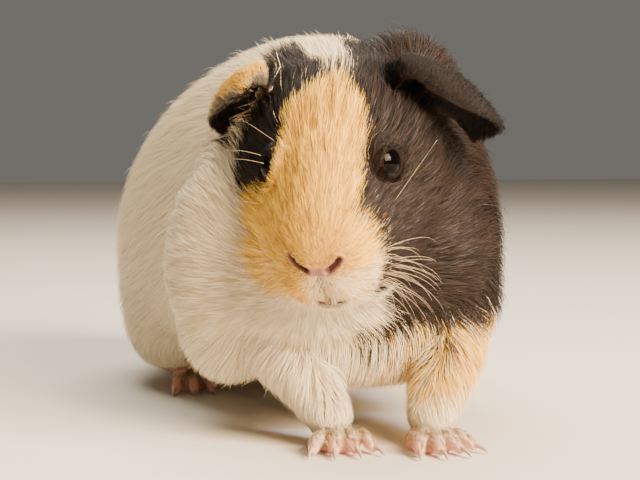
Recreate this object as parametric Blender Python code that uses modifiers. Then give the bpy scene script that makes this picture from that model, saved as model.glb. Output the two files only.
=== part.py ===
"""A life-size short-haired guinea pig, standing with its head turned to its right.

The animal is modelled whole, out to the tips of its coat: a trunk, a head, a neck and four legs are
lofted, fused and smoothed, and the body is then parted into named pieces with thin cuts. Eyes, ears,
toes and claws are made on their own and let into the body. It faces -Y, +X is its own left side, and
the floor is at z = 0. Lengths are in millimetres until a mesh is made, and in metres from there on.
"""

import math

import bmesh
import bpy
import numpy as np
from mathutils import Matrix, Vector

MM = 0.001
GAP = 0.3  # clearance between neighbouring pieces

# The working frame has its origin on the floor between the front paws. The finished object's origin
# is at the bottom centre of its box, so everything is moved by this much at the end.
BOX_CENTRE = (0.75, 82.5)

# Trunk, from the chest back to the rump: distance back, sideways place of the spine, half width,
# height of the back, height of the belly, and roundness of the upper half (1 is an ellipse, less is
# boxier, more is peaked).
TRUNK = (
    (9, 0, 0, 50, 50, 0.9),
    (13, 1, 26, 72, 26, 0.9),
    (26, 3, 39, 92, 13.5, 0.9),
    (48, 6, 46, 107, 11, 0.9),
    (76, 5, 49, 114, 10, 0.95),
    (106, 1, 52, 112, 8, 1),
    (136, -2, 50, 102, 7, 1),
    (162, -6, 39, 83, 12, 1),
    (177, -8, 23, 67, 26, 1),
    (182, -9, 0, 48, 48, 1),
)
TRUNK_WIDEST = 0.42  # share of the height at which the trunk is widest
TRUNK_UNDER = 0.8  # roundness of the lower half

# Head, from the nose tip back to the nape, in the same way but in the head's own frame.
HEAD = (
    (0, 0, 0, -4, -4, 0.9),
    (2.2, 0, 8.5, 4.0, -15, 0.9),
    (8, 0, 14, 9.0, -24, 0.95),
    (17, 0, 18.5, 13.5, -29, 1.1),
    (29, 0, 24, 18.5, -33, 1.3),
    (42, 0, 28.5, 22.0, -36, 1.1),
    (56, 0, 30, 23.5, -36, 0.8),
    (70, 0, 27, 20.0, -29, 0.8),
    (82, 0, 0, -2, -2, 0.8),
)
HEAD_WIDEST = 0.4
HEAD_UNDER = 0.9
NOSE_TIP = (-22.5, -15.0, 52.5)
HEAD_TURN = 23  # degrees, nose towards the animal's right
HEAD_PITCH = 32  # degrees, nose down
HEAD_ROLL = 3  # degrees, crown towards the animal's right

# Neck: a thick stretch from the back of the head into the shoulders.
NECK_START = (0, 50, -5)  # in the head's frame
NECK_END = (9, 76, 68)
NECK_RADII = (29, 43)

EYE = (12.4, 31, 6.2)  # centre in the head's frame, mirrored for the other side
EYE_RADIUS = 5.7
SOCKET_GAP = 2 * GAP

# Forelegs: the route from inside the chest to the wrist, and the radius at each point.
FORELEG = {
    "left": ((27, 31, 33, 14), (25, 25, 24, 12.2), (20, 16, 14.5, 8.6), (14.5, 8, 7, 6.2)),
    "right": ((-25, 36, 33, 14), (-20.5, 29, 24, 11.8), (-14.5, 21, 14.5, 8), (-11.5, 15, 7, 6)),
}

# Masses of shoulder and haunch: centre and half sizes, left side.
SHOULDER = ((31, 46, 46), (20, 24, 34))
HAUNCH = ((34, 124, 31), (17.5, 32, 27.5))
RUFF = ((21, 50, 82), (22, 24, 34))  # the fur that stands up where the turned neck is stretched

# Feet: place of the sole's middle, with the turn outwards in degrees, and its half width, half length
# and height.
FOREFOOT = {"left": (12.8, 4.5, 9), "right": (-10.4, 11.5, -6)}
HINDFOOT = {"left": (33, 126, 10), "right": (-29, 122.5, -6)}
FORE_SOLE = (6.4, 7.6, 6.4)
HIND_SOLE = (6.2, 19.0, 6.5)
SOLE_LIFT = 0.2  # height of the sole's widest line, as a share of the foot's height
# Toes: place across the foot, turn in degrees and length.
FORE_TOES = ((-5.3, -26, 5.8), (-1.75, -8, 7.4), (1.75, 8, 7.4), (5.3, 26, 5.8))
HIND_TOES = ((-4.1, -12, 9.0), (0, 0, 10.5), (4.1, 12, 9.0))
TOE_ROOT = {"forefoot": -3.5, "hindfoot": -13}  # where the toes leave the foot's middle
TOE_RADIUS = {"forefoot": 1.55, "hindfoot": 1.75}
# Course of a toe: share of its length, height over the floor, and share of its radius.
TOE_PROFILE = ((-0.35, 3.4, 0.9), (0.3, 3.7, 1.0), (0.75, 2.4, 1.0), (1, 1.4, 0.85))
CLAW_LENGTH = 3.0
CLAW_RADIUS = 0.8
CLAW_RISE = 0.2  # how far a claw's root is over the middle of the toe's tip
CLAW_ARCH = 0.1
CLAW_FALL = 1.1
CLAW_TAPER = (1, 0.75, 0.3)  # radius at its root, middle and tip

# Ears: a hood that opens forwards. Its root runs from the front of the ear's opening over its back to
# below it, and its rim hangs free, each a curve through points in the head's frame (left ear). The
# right ear hangs closer to the head.
EAR_ROOT = ((18.5, 49.5, 19.5), (18.5, 56, 22.5), (21.5, 63, 17), (26, 63, 3))
EAR_RIM = ((24, 48.5, 17), (32.5, 50, 10), (43, 58.5, -2), (35, 64, -9))
EAR_SPREAD = {1: 1.0, -1: 0.72}
EAR_DOME = 3.0  # how far the hood bulges
EAR_DOME_EDGE = 0.15  # share of the bulge's half wave that is cut off at the front and back edges
EAR_THICKNESS = 1.8

VOXEL = 1.6  # grid on which the body is fused
SMOOTHING_ROUNDS = 12
BODY_TRIANGLES = 1700
SHARP_ANGLE = 50  # degrees between faces that are shaded with an edge between them

# How the fused body is parted. Lobes are ellipsoids, given as centre and half sizes. Shoulders and
# haunches are on both sides, and the nose is in the head's frame. Cells are boxes between two
# corners. They are cut in this order, each from what is left, and the rest is the rump.
SHOULDER_LOBE = ((35, 37, 35), (20, 22, 24))
HAUNCH_LOBE = ((44, 124, 30), (24, 34, 34))
NOSE_LOBE = ((0, 0, -1.5), (7.2, 5.0, 4.6))
JAW_CELL = ((-40, -20, -33), (40, 17, -13.5))  # in the head's frame
HEAD_CELL = ((-60, -20, -24.5), (60, 60, 60))  # in the head's frame
NECK_CELL = ((-100, -60, 58), (100, 44, 140))
CHEST_CELL = ((-100, -60, -1), (100, 72, 140))
TRUNK_CELL = ((-100, 0, -1), (100, 132, 140))

COATS = {
    "cream": (0.83, 0.60, 0.31),
    "chocolate": (0.10, 0.065, 0.048),
    "white": (0.83, 0.79, 0.69),
    "skin": (0.72, 0.42, 0.36),
    "horn": (0.55, 0.44, 0.34),
    "eye": (0.008, 0.006, 0.007),
}
ROUGHNESS = {"eye": 0.05, "horn": 0.4, "skin": 0.55}
DEFAULT_ROUGHNESS = 0.85


# ---------------------------------------------------------------- shapes as rings of points


def through_rows(rows, per_step, mirrored_ends):
    """Rows on a smooth curve through the given rows. With mirrored_ends the curve goes over each end
    row and back along the other side, as a surface does at its pole."""
    rows = np.array(rows, float)
    if mirrored_ends:
        other_side, over = [0, 1, 2, 4, 3, 5], np.array([1, 1, -1, 1, 1, 1])
        ends = rows[1][other_side] * over, rows[-2][other_side] * over
    else:
        ends = 2 * rows[0] - rows[1], 2 * rows[-1] - rows[-2]
    padded = np.vstack([ends[0], rows, ends[1]])
    found = []
    for before, start, end, after in zip(padded, padded[1:], padded[2:], padded[3:]):
        t = np.arange(per_step)[:, None] / per_step
        leave, arrive = (end - before) / 2, (after - start) / 2
        found.append(
            (2 * t**3 - 3 * t**2 + 1) * start
            + (t**3 - 2 * t**2 + t) * leave
            + (3 * t**2 - 2 * t**3) * end
            + (t**3 - t**2) * arrive
        )
    return np.vstack([*found, rows[-1:]])


def body_rings(rows, widest, under_roundness, segments=28):
    """Rings of points of a body whose rows give its place, half width, top, underside and roundness."""
    angle = np.linspace(0, 2 * math.pi, segments, endpoint=False)
    back, spine, half_width, top, under, roundness = through_rows(rows, 4, True).T[:, :, None]
    power = np.where(np.sin(angle) > 0, roundness, under_roundness)
    across = np.sign(np.cos(angle)) * np.abs(np.cos(angle)) ** power
    upward = np.sign(np.sin(angle)) * np.abs(np.sin(angle)) ** power
    middle = under + widest * (top - under)
    height = middle + np.where(upward > 0, top - middle, middle - under) * upward
    return np.stack([spine + half_width * across, back + 0 * across, height], axis=-1)


def tube_rings(route, segments=18, per_step=5, cap_rings=4):
    """Rings along a smooth route whose rows are x, y, z and radius, with a round end at each side."""
    rows = through_rows(route, per_step, False)
    points, radii = rows[:, :3], rows[:, 3]
    along = np.gradient(points, axis=0)
    along /= np.linalg.norm(along, axis=1)[:, None]
    turn = np.linspace(math.pi / 2, 0, cap_rings, endpoint=False)[:, None]
    start = np.hstack([points[0] - along[0] * radii[0] * np.sin(turn), radii[0] * np.cos(turn)])
    end = np.hstack([points[-1] + along[-1] * radii[-1] * np.sin(turn), radii[-1] * np.cos(turn)])
    rows = np.vstack([start, rows, end[::-1]])
    along = np.vstack([[along[0]] * cap_rings, along, [along[-1]] * cap_rings])
    side = np.cross(along, (0.02, 0.31, 0.95))
    side /= np.linalg.norm(side, axis=1)[:, None]
    other = np.cross(side, along)
    angle = np.linspace(0, 2 * math.pi, segments, endpoint=False)
    ring = side[:, None] * np.cos(angle)[:, None] + other[:, None] * np.sin(angle)[:, None]
    return rows[:, None, :3] + rows[:, None, 3:] * ring


def head_matrix():
    """The head's own frame (side, back, up from the nose tip) in the working frame."""
    return (
        Matrix.Translation(NOSE_TIP)
        @ Matrix.Rotation(math.radians(-HEAD_TURN), 4, "Z")
        @ Matrix.Rotation(math.radians(HEAD_PITCH), 4, "X")
        @ Matrix.Rotation(math.radians(-HEAD_ROLL), 4, "Y")
    )


def in_head(point):
    return tuple(head_matrix() @ Vector(point))


# ---------------------------------------------------------------- objects


def new_object(name, mesh, collection):
    made = bpy.data.objects.new(name, mesh)
    collection.objects.link(made)
    return made


def closed_loft(name, rings, matrix=None):
    """A closed mesh through rings of points. The first and the last ring shrink to a pole each."""
    rings = np.asarray(rings, float)
    count, segments = rings.shape[:2]
    inner = rings[1:-1].reshape(-1, 3)
    points = np.vstack([inner, rings[0].mean(axis=0), rings[-1].mean(axis=0)]) * MM
    first_pole, last_pole = len(inner), len(inner) + 1
    step = np.arange(segments)
    following = (step + 1) % segments
    faces = []
    for ring in range(count - 3):
        low, high = ring * segments, (ring + 1) * segments
        faces += np.stack([low + step, low + following, high + following, high + step], 1).tolist()
    last = (count - 3) * segments
    faces += [(first_pole, b, a) for a, b in zip(step.tolist(), following.tolist())]
    faces += [(last_pole, last + a, last + b) for a, b in zip(step.tolist(), following.tolist())]
    mesh = bpy.data.meshes.new(name)
    mesh.from_pydata(points.tolist(), [], faces)
    if matrix is not None:
        scaled = matrix.copy()
        scaled.translation *= MM
        mesh.transform(scaled)
    face_outwards(mesh)
    return new_object(name, mesh, helpers)


def face_outwards(mesh):
    work = bmesh.new()
    work.from_mesh(mesh)
    bmesh.ops.recalc_face_normals(work, faces=work.faces)
    work.to_mesh(mesh)
    work.free()


def ball(name, centre, radii, matrix=None, segments=12):
    """An ellipsoid, in the working frame or in the one that matrix gives."""
    mesh = bpy.data.meshes.new(name)
    work = bmesh.new()
    bmesh.ops.create_uvsphere(work, u_segments=segments, v_segments=segments // 2, radius=1)
    work.to_mesh(mesh)
    work.free()
    return placed(name, mesh, centre, radii, matrix)


def block(name, low, high, matrix=None):
    """A box between two corners, in the working frame or in the one that matrix gives."""
    mesh = bpy.data.meshes.new(name)
    work = bmesh.new()
    bmesh.ops.create_cube(work, size=2)
    work.to_mesh(mesh)
    work.free()
    low, high = Vector(low), Vector(high)
    return placed(name, mesh, (low + high) / 2, (high - low) / 2, matrix)


def placed(name, mesh, centre, radii, matrix):
    place = Matrix.Translation(Vector(centre)) @ Matrix.Diagonal((*radii, 1))
    if matrix is not None:
        place = matrix @ place
    mesh.transform(Matrix.Scale(MM, 4) @ place)
    return new_object(name, mesh, helpers)


def settle(obj):
    """Replaces an object's mesh with what its modifiers make of it."""
    graph = bpy.context.evaluated_depsgraph_get()
    made = bpy.data.meshes.new_from_object(obj.evaluated_get(graph))
    work = bmesh.new()
    work.from_mesh(made)
    bmesh.ops.triangulate(work, faces=work.faces)
    work.to_mesh(made)
    work.free()
    obj.modifiers.clear()
    obj.data = made


def combine(obj, other, operation):
    cut = obj.modifiers.new(operation.lower(), "BOOLEAN")
    cut.operation = operation
    cut.object = other
    cut.solver = "EXACT"
    settle(obj)


def copy_of(obj, name):
    return new_object(name, obj.data.copy(), helpers)


def coat(name, colour):
    material = bpy.data.materials.new(name)
    material.use_nodes = True
    shader = material.node_tree.nodes["Principled BSDF"]
    shader.inputs["Base Color"].default_value = (*COATS[colour], 1)
    shader.inputs["Roughness"].default_value = ROUGHNESS.get(colour, DEFAULT_ROUGHNESS)
    return material


def finish(obj, name, colour):
    """Makes a helper a finished piece of the animal."""
    helpers.objects.unlink(obj)
    animal.objects.link(obj)
    obj.name = name
    obj.data.materials.clear()
    obj.data.materials.append(coat(name, colour))
    obj.data.shade_smooth()
    obj.data.set_sharp_from_angle(angle=math.radians(SHARP_ANGLE))
    return obj


def part_off(body, name, shape, colour):
    """Takes the part of body inside a shape away as a piece of its own. shape(grow) makes the shape,
    larger by grow on every side, and the body keeps clear of the piece by the gap."""
    piece = copy_of(body, name)
    combine(piece, shape(0), "INTERSECT")
    combine(body, shape(GAP), "DIFFERENCE")
    return finish(piece, name, colour)


# ---------------------------------------------------------------- the animal's parts


def trunk():
    return closed_loft("trunk_form", body_rings(TRUNK, TRUNK_WIDEST, TRUNK_UNDER))


def head():
    return closed_loft("head_form", body_rings(HEAD, HEAD_WIDEST, HEAD_UNDER), head_matrix())


def neck():
    start, end = in_head(NECK_START), NECK_END
    return closed_loft("neck_form", tube_rings(((*start, NECK_RADII[0]), (*end, NECK_RADII[1]))))


def foreleg(route, grow):
    return closed_loft("leg_form", tube_rings([(*p[:3], p[3] + grow) for p in route], 12, 2, 3))


def foot_matrix(place):
    """The frame of a foot: origin under its middle, its toes towards -Y, turned outwards."""
    x, y, turn = place
    return Matrix.Translation((x, y, 0)) @ Matrix.Rotation(math.radians(turn), 4, "Z")


def press_flat(mesh, height):
    """Raises all of a mesh that is below a height to it, which leaves a flat there."""
    for point in mesh.vertices:
        point.co.z = max(point.co.z, height * MM)


def sole(place, size, grow):
    half_width, half_length, top = size
    centre = (0, 0, top * SOLE_LIFT)
    radii = (half_width + grow, half_length + grow, top * (1 - SOLE_LIFT) + grow)
    made = ball("foot_form", centre, radii, foot_matrix(place))
    press_flat(made.data, -grow)
    return made


def fused_body():
    """Trunk, neck, head, shoulders and haunches as one smooth closed mesh."""
    forms = [trunk(), neck(), head()]
    for side in (1, -1):
        for (x, y, z), radii in (SHOULDER, HAUNCH):
            forms.append(ball("mass_form", (side * x, y, z), radii, None, 20))
    forms.append(ball("ruff_form", *RUFF, None, 20))
    work = bmesh.new()
    for form in forms:
        work.from_mesh(form.data)
    mesh = bpy.data.meshes.new("body")
    work.to_mesh(mesh)
    work.free()
    body = new_object("body", mesh, helpers)
    fuse = body.modifiers.new("fuse", "REMESH")
    fuse.mode = "VOXEL"
    fuse.voxel_size = VOXEL * MM
    smooth = body.modifiers.new("smooth", "SMOOTH")
    smooth.iterations = SMOOTHING_ROUNDS
    settle(body)
    thin = body.modifiers.new("thin", "DECIMATE")
    thin.ratio = BODY_TRIANGLES / (2 * len(body.data.polygons))
    settle(body)
    return body


def widen(sheet, distance):
    """Moves the first and the last row of a sheet of points outwards, along the sheet."""
    for edge, inner in ((0, 1), (-1, -2)):
        way = sheet[edge] - sheet[inner]
        sheet[edge] += way * distance / np.linalg.norm(way, axis=-1, keepdims=True)


def ear(side, grow):
    """A hood between its root on the head and its free rim, of the ear's thickness."""
    flip = np.array([side, 1, 1])
    root = through_rows(EAR_ROOT, 2, False)
    rim = root + EAR_SPREAD[side] * (through_rows(EAR_RIM, 2, False) - root)
    root, rim = root * flip, rim * flip
    share = np.linspace(0, 1, 6)[:, None, None]
    sheet = root + share * (rim - root)
    column = np.linspace(EAR_DOME_EDGE, 1 - EAR_DOME_EDGE, len(root))[:, None]
    outward = np.cross(np.gradient(sheet, axis=0), np.gradient(sheet, axis=1)) * side
    outward /= np.linalg.norm(outward, axis=-1, keepdims=True)
    sheet += EAR_DOME * np.sin(math.pi * share) * np.sin(math.pi * column) * outward
    widen(sheet, grow)
    widen(sheet.transpose(1, 0, 2), grow)
    rows, columns = sheet.shape[:2]
    corner = np.arange(rows * columns).reshape(rows, columns)
    quads = np.stack([corner[:-1, :-1], corner[1:, :-1], corner[1:, 1:], corner[:-1, 1:]], -1)
    mesh = bpy.data.meshes.new("ear")
    mesh.from_pydata((sheet.reshape(-1, 3)).tolist(), [], quads.reshape(-1, 4).tolist())
    mesh.transform(Matrix.Scale(MM, 4) @ head_matrix())
    made = new_object("ear_form", mesh, helpers)
    wall = made.modifiers.new("wall", "SOLIDIFY")
    wall.thickness = (EAR_THICKNESS + 2 * grow) * MM
    wall.offset = 0
    settle(made)
    face_outwards(made.data)
    return made


def toe_route(place, start, thickness, across, fan, length):
    """Route of a toe from inside the foot to its tip, arched and set down on the floor."""
    frame = foot_matrix(place)
    way = Matrix.Rotation(math.radians(fan), 4, "Z") @ Vector((0, -1, 0))
    root = Vector((across, start, 0))
    points = []
    for share, height, radius in TOE_PROFILE:
        at = frame @ (root + way * length * share)
        points.append((at.x, at.y, height, thickness * radius))
    return points


def toe(route, grow):
    """A toe along a route, pressed flat where it would go through the floor."""
    rings = tube_rings([(*point[:3], point[3] + grow) for point in route], 7, 1, 2)
    made = closed_loft("toe_form", rings)
    press_flat(made.data, -grow)
    return made


def claw(route):
    """A claw that leaves the tip of the toe with a route and comes down to just above the floor."""
    before, tip = Vector(route[-2][:3]), Vector(route[-1][:3])
    way = Vector((tip.x - before.x, tip.y - before.y, 0)).normalized()
    start = tip + way * (route[-1][3] + GAP + CLAW_RADIUS / 2) + Vector((0, 0, CLAW_RISE))
    middle = start + way * CLAW_LENGTH * 0.5 + Vector((0, 0, CLAW_ARCH))
    end = start + way * CLAW_LENGTH - Vector((0, 0, CLAW_FALL))
    points = [(*at, CLAW_RADIUS * share) for at, share in zip((start, middle, end), CLAW_TAPER)]
    return closed_loft("claw_form", tube_rings(points, 6, 1, 1))


# ---------------------------------------------------------------- assembly


def make_foot(body, name, place, size, toes):
    """Makes a foot with its toes let into it and its claws before them, and cuts its room in the body."""
    foot = sole(place, size, 0)
    combine(body, sole(place, size, GAP), "DIFFERENCE")
    kind = name.split("_")[0]
    for number, shape in enumerate(toes, 1):
        route = toe_route(place, TOE_ROOT[kind], TOE_RADIUS[kind], *shape)
        combine(body, toe(route, GAP), "DIFFERENCE")
        combine(foot, toe(route, GAP), "DIFFERENCE")
        finish(toe(route, 0), f"{name}_toe_{number}", "skin")
        finish(claw(route), f"{name}_claw_{number}", "horn")
    finish(foot, name, "skin")


def part_body(body):
    in_the_head = head_matrix()

    for side, sign in (("left", 1), ("right", -1)):
        centre = (sign * EYE[0], EYE[1], EYE[2])
        eyeball = ball("eye_form", centre, (EYE_RADIUS,) * 3, in_the_head, 16)
        socket = ball("eye_socket", centre, (EYE_RADIUS + SOCKET_GAP,) * 3, in_the_head)
        combine(body, socket, "DIFFERENCE")
        finish(eyeball, f"eye_{side}", "eye")
        combine(body, ear(sign, GAP), "DIFFERENCE")
        finish(ear(sign, 0), f"ear_{side}", "cream" if sign < 0 else "chocolate")
        coat_colour = "cream" if sign > 0 else "white"
        leg = foreleg(FORELEG[side], 0)
        combine(body, foreleg(FORELEG[side], GAP), "DIFFERENCE")
        make_foot(leg, f"forefoot_{side}", FOREFOOT[side], FORE_SOLE, FORE_TOES)
        finish(leg, f"foreleg_{side}", coat_colour)
        make_foot(body, f"hindfoot_{side}", HINDFOOT[side], HIND_SOLE, HIND_TOES)

    def cell(corners, frame=None):
        def shape(grow):
            margin = Vector((grow, grow, grow))
            return block("cell", Vector(corners[0]) - margin, Vector(corners[1]) + margin, frame)

        return shape

    def lobe(form, sign=1, frame=None):
        (x, y, z), radii = form

        def shape(grow):
            return ball("lobe", (sign * x, y, z), tuple(r + grow for r in radii), frame)

        return shape

    for side, sign in (("left", 1), ("right", -1)):
        colour = "chocolate" if sign > 0 else "white"
        part_off(body, f"shoulder_{side}", lobe(SHOULDER_LOBE, sign), colour)
        part_off(body, f"haunch_{side}", lobe(HAUNCH_LOBE, sign), "white")
    part_off(body, "nose", lobe(NOSE_LOBE, 1, in_the_head), "skin")
    part_off(body, "lower_jaw", cell(JAW_CELL, in_the_head), "white")
    part_off(body, "head", cell(HEAD_CELL, in_the_head), "cream")
    part_off(body, "neck", cell(NECK_CELL), "chocolate")
    part_off(body, "chest", cell(CHEST_CELL), "white")
    part_off(body, "trunk", cell(TRUNK_CELL), "white")
    finish(body, "rump", "white")


for old in list(bpy.data.objects):
    bpy.data.objects.remove(old)

helpers = bpy.data.collections.new("cutters")
animal = bpy.data.collections.new("guinea_pig")
for made in (helpers, animal):
    bpy.context.scene.collection.children.link(made)

part_body(fused_body())

for helper in helpers.objects:
    helper.hide_render = True
    helper.display_type = "WIRE"
to_origin = Matrix.Translation((-BOX_CENTRE[0] * MM, -BOX_CENTRE[1] * MM, 0))
for piece in animal.objects:
    piece.data.transform(to_origin)
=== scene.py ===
import itertools
import math

import bpy
import numpy as np
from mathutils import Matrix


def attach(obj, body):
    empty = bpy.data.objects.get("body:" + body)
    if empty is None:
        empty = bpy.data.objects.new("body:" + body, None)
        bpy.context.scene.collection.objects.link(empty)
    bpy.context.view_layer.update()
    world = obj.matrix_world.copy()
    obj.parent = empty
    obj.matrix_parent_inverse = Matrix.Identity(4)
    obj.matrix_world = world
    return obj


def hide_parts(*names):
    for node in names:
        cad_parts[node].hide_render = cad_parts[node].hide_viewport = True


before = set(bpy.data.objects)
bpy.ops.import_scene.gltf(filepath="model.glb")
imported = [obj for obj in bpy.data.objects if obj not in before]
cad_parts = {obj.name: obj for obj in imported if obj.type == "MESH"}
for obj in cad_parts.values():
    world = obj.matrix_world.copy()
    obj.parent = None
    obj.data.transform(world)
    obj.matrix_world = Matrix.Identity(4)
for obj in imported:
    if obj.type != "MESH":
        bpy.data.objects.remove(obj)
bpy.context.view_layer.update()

# A short-haired guinea pig, life size, standing still with its head turned to its own right.
# Lengths are in millimetres in the solids' working frame (origin on the floor between the front paws,
# nose towards -Y, the animal's left towards +X) and become metres in the frame of the part at the end.

boxCentre = np.array([0.75, 82.5, 0.0])
mmToMetre = 0.001


def toMetres(points):
    return (points - boxCentre) * mmToMetre


# colour, nodes, meshes

def toLinear(hexColour):
    value = np.array([int(hexColour[at:at + 2], 16) for at in (1, 3, 5)]) / 255
    value = np.where(value <= 0.04045, value / 12.92, ((value + 0.055) / 1.055) ** 2.4)
    return (*value.tolist(), 1.0)


def addNode(tree, kind, settings=None, inputs=None):
    # settings are the node's own values. An input is a number, a colour or another node's socket
    node = tree.nodes.new(kind)
    for key, value in (settings or {}).items():
        setattr(node, key, value)
    for key, value in (inputs or {}).items():
        if isinstance(value, bpy.types.NodeSocket):
            tree.links.new(value, node.inputs[key])
        else:
            node.inputs[key].default_value = value
    return node


def newMaterial(name, **values):
    # values are the shader's own sockets by name, with _ for a space
    material = bpy.data.materials.new(name)
    material.use_nodes = True
    tree = material.node_tree
    shader = tree.nodes["Principled BSDF"]
    for key, value in values.items():
        shader.inputs[key.replace("_", " ")].default_value = value
    return material, tree, shader


def meshOf(name, points, faces):
    # faces is a list of arrays, each with the corners of faces that have the same number of sides
    faces = [np.asarray(group, np.int32) for group in faces if len(group)]
    corners = np.concatenate([group.ravel() for group in faces])
    sides = np.concatenate([np.full(len(group), group.shape[1], np.int32) for group in faces])
    starts = np.concatenate([[0], np.cumsum(sides)[:-1]]).astype(np.int32)
    mesh = bpy.data.meshes.new(name)
    mesh.vertices.add(len(points))
    mesh.vertices.foreach_set("co", np.ascontiguousarray(points, np.float32).ravel())
    mesh.loops.add(len(corners))
    mesh.loops.foreach_set("vertex_index", corners)
    mesh.polygons.add(len(sides))
    mesh.polygons.foreach_set("loop_start", starts)
    mesh.update(calc_edges=True)
    return mesh


def linked(name, data):
    made = bpy.data.objects.new(name, data)
    bpy.context.scene.collection.objects.link(made)
    return made


def newPiece(name, mesh, material, slot, attributes):
    # a finished piece of the animal, with a number for each of its points under each attribute's name
    for key, values in attributes.items():
        made = mesh.attributes.new(key, "FLOAT", "POINT")
        made.data.foreach_set("value", np.ascontiguousarray(values, np.float32))
    mesh.materials.append(material)
    mesh.shade_smooth()
    piece = linked(name, mesh)
    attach(piece, "root")
    return piece


def through(points, faces, *modifiers):
    # the points and triangles that modifiers make of a mesh. A modifier is its kind and settings
    helper = linked("helper", meshOf("helper", points, faces))
    for kind, settings in modifiers:
        made = helper.modifiers.new(kind, kind)
        for key, value in settings.items():
            if key == "vertex_group":
                group = helper.vertex_groups.new(name="share")
                for level in np.unique(value):
                    group.add(np.flatnonzero(value == level).tolist(), float(level), "REPLACE")
                value = group.name
            setattr(made, key, value)
    graph = bpy.context.evaluated_depsgraph_get()
    mesh = bpy.data.meshes.new_from_object(helper.evaluated_get(graph))
    points = np.empty(len(mesh.vertices) * 3, np.float32)
    mesh.vertices.foreach_get("co", points)
    mesh.calc_loop_triangles()
    triangles = np.empty(len(mesh.loop_triangles) * 3, np.int32)
    mesh.loop_triangles.foreach_get("vertices", triangles)
    old = helper.data
    bpy.data.objects.remove(helper)
    bpy.data.meshes.remove(old)
    bpy.data.meshes.remove(mesh)
    return points.reshape(-1, 3).astype(float), triangles.reshape(-1, 3)


def edgesOf(triangles):
    # the edges as pairs of points, and for each triangle the places of its three edges in that list
    ends = np.sort(np.vstack([triangles[:, [0, 1]], triangles[:, [1, 2]], triangles[:, [2, 0]]]), axis=1)
    edges, place = np.unique(ends, axis=0, return_inverse=True)
    return edges, place.reshape(3, -1).T


def relax(points, triangles, share, rounds):
    # each round moves every point by its share towards the mean of its neighbours
    a, b = edgesOf(triangles)[0].T
    count = len(points)
    degree = np.bincount(a, minlength=count) + np.bincount(b, minlength=count)
    share = (np.ones(count) * share)[:, None]
    for _ in range(rounds):
        total = np.stack([
            np.bincount(a, points[b, axis], count) + np.bincount(b, points[a, axis], count)
            for axis in range(3)], axis=1)
        points = points + share * (total / degree[:, None] - points)
    return points


def normalsOf(points, triangles):
    # a point's normal is the sum of the normals of its triangles, each as long as its area
    a, b, c = (points[triangles[:, corner]] for corner in range(3))
    face = np.cross(b - a, c - a)
    total = np.stack([
        sum(np.bincount(triangles[:, corner], face[:, axis], len(points)) for corner in range(3))
        for axis in range(3)], axis=1)
    return unit(total)


def unit(vectors):
    return vectors / np.maximum(np.linalg.norm(vectors, axis=-1, keepdims=True), 1e-9)


def smoothStep(values, low, high):
    t = np.clip((values - low) / (high - low), 0, 1)
    return t * t * (3 - 2 * t)


def fade(values, low, high):
    return 1 - smoothStep(values, low, high)


def border(values, half):
    # from 0 to 1 over a border of this half width, round the place where the values are 0
    return smoothStep(values, -half, half)


def hump(values, width):
    # a bell: 1 where the values are 0, and about a third at this width
    return np.exp(-(values / width) ** 2)


def hashed(cells, seed):
    # a number from -1 to 1 that depends only on a cell's three whole numbers and the seed
    mixed = (cells[..., 0] * 73856093) ^ (cells[..., 1] * 19349663) ^ (cells[..., 2] * 83492791)
    mixed = ((mixed ^ (seed * 2654435761)) & 0xFFFFFFFF) * 1274126177 & 0xFFFFFFFF
    mixed = ((mixed ^ (mixed >> 15)) * 2246822519) & 0xFFFFFFFF
    return ((mixed ^ (mixed >> 13)) & 0xFFFF) / 32767.5 - 1


def smoothNoise(points, size, seed):
    # random values at the corners of cells of this size, with a smooth step from corner to corner
    place = points / size + 1000.0
    cell = np.floor(place).astype(np.int64)
    part = place - cell
    part = part * part * (3 - 2 * part)
    total = 0
    for corner in itertools.product((0, 1), repeat=3):
        weight = np.prod(np.where(corner, part, 1 - part), axis=-1)
        total = total + weight * hashed(cell + np.array(corner), seed)
    return total


# forms: rings of points along the body, a leg or a toe

def throughRows(rows, perStep, overPoles=False):
    # a cubic between each two rows, with the slope of the rows on both sides. Over a pole, the rows
    # come back on the other side, with top and underside changed over
    rows = np.array(rows, float)
    if overPoles:
        swapped, over = [0, 1, 2, 4, 3, 5], np.array([1, 1, -1, 1, 1, 1])
        ends = rows[1][swapped] * over, rows[-2][swapped] * over
    else:
        ends = 2 * rows[0] - rows[1], 2 * rows[-1] - rows[-2]
    padded = np.vstack([ends[0], rows, ends[1]])
    t = (np.arange(perStep) / perStep)[None, :, None]
    before, start, end, after = (padded[at:len(padded) - 3 + at, None] for at in range(4))
    curve = ((2 * t**3 - 3 * t**2 + 1) * start + (t**3 - 2 * t**2 + t) * (end - before) / 2
             + (3 * t**2 - 2 * t**3) * end + (t**3 - t**2) * (after - start) / 2)
    return np.vstack([curve.reshape(-1, rows.shape[1]), rows[-1:]])


def bodyRings(rows, widest, under, segments=64, perStep=8):
    # rings of a body: half width times the cosine and height times the sine of the angle, each to a
    # power that makes the ring boxier or more peaked
    angle = np.linspace(0, 2 * math.pi, segments, endpoint=False)
    back, spine, halfWidth, top, bottom, upper = throughRows(rows, perStep, True).T[:, :, None]
    power = np.where(np.sin(angle) > 0, upper, under)
    across = np.sign(np.cos(angle)) * np.abs(np.cos(angle)) ** power
    upward = np.sign(np.sin(angle)) * np.abs(np.sin(angle)) ** power
    middle = bottom + widest * (top - bottom)
    height = middle + np.where(upward > 0, top - middle, middle - bottom) * upward
    return np.stack([spine + halfWidth * across, back + 0 * across, height], axis=-1)


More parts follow.
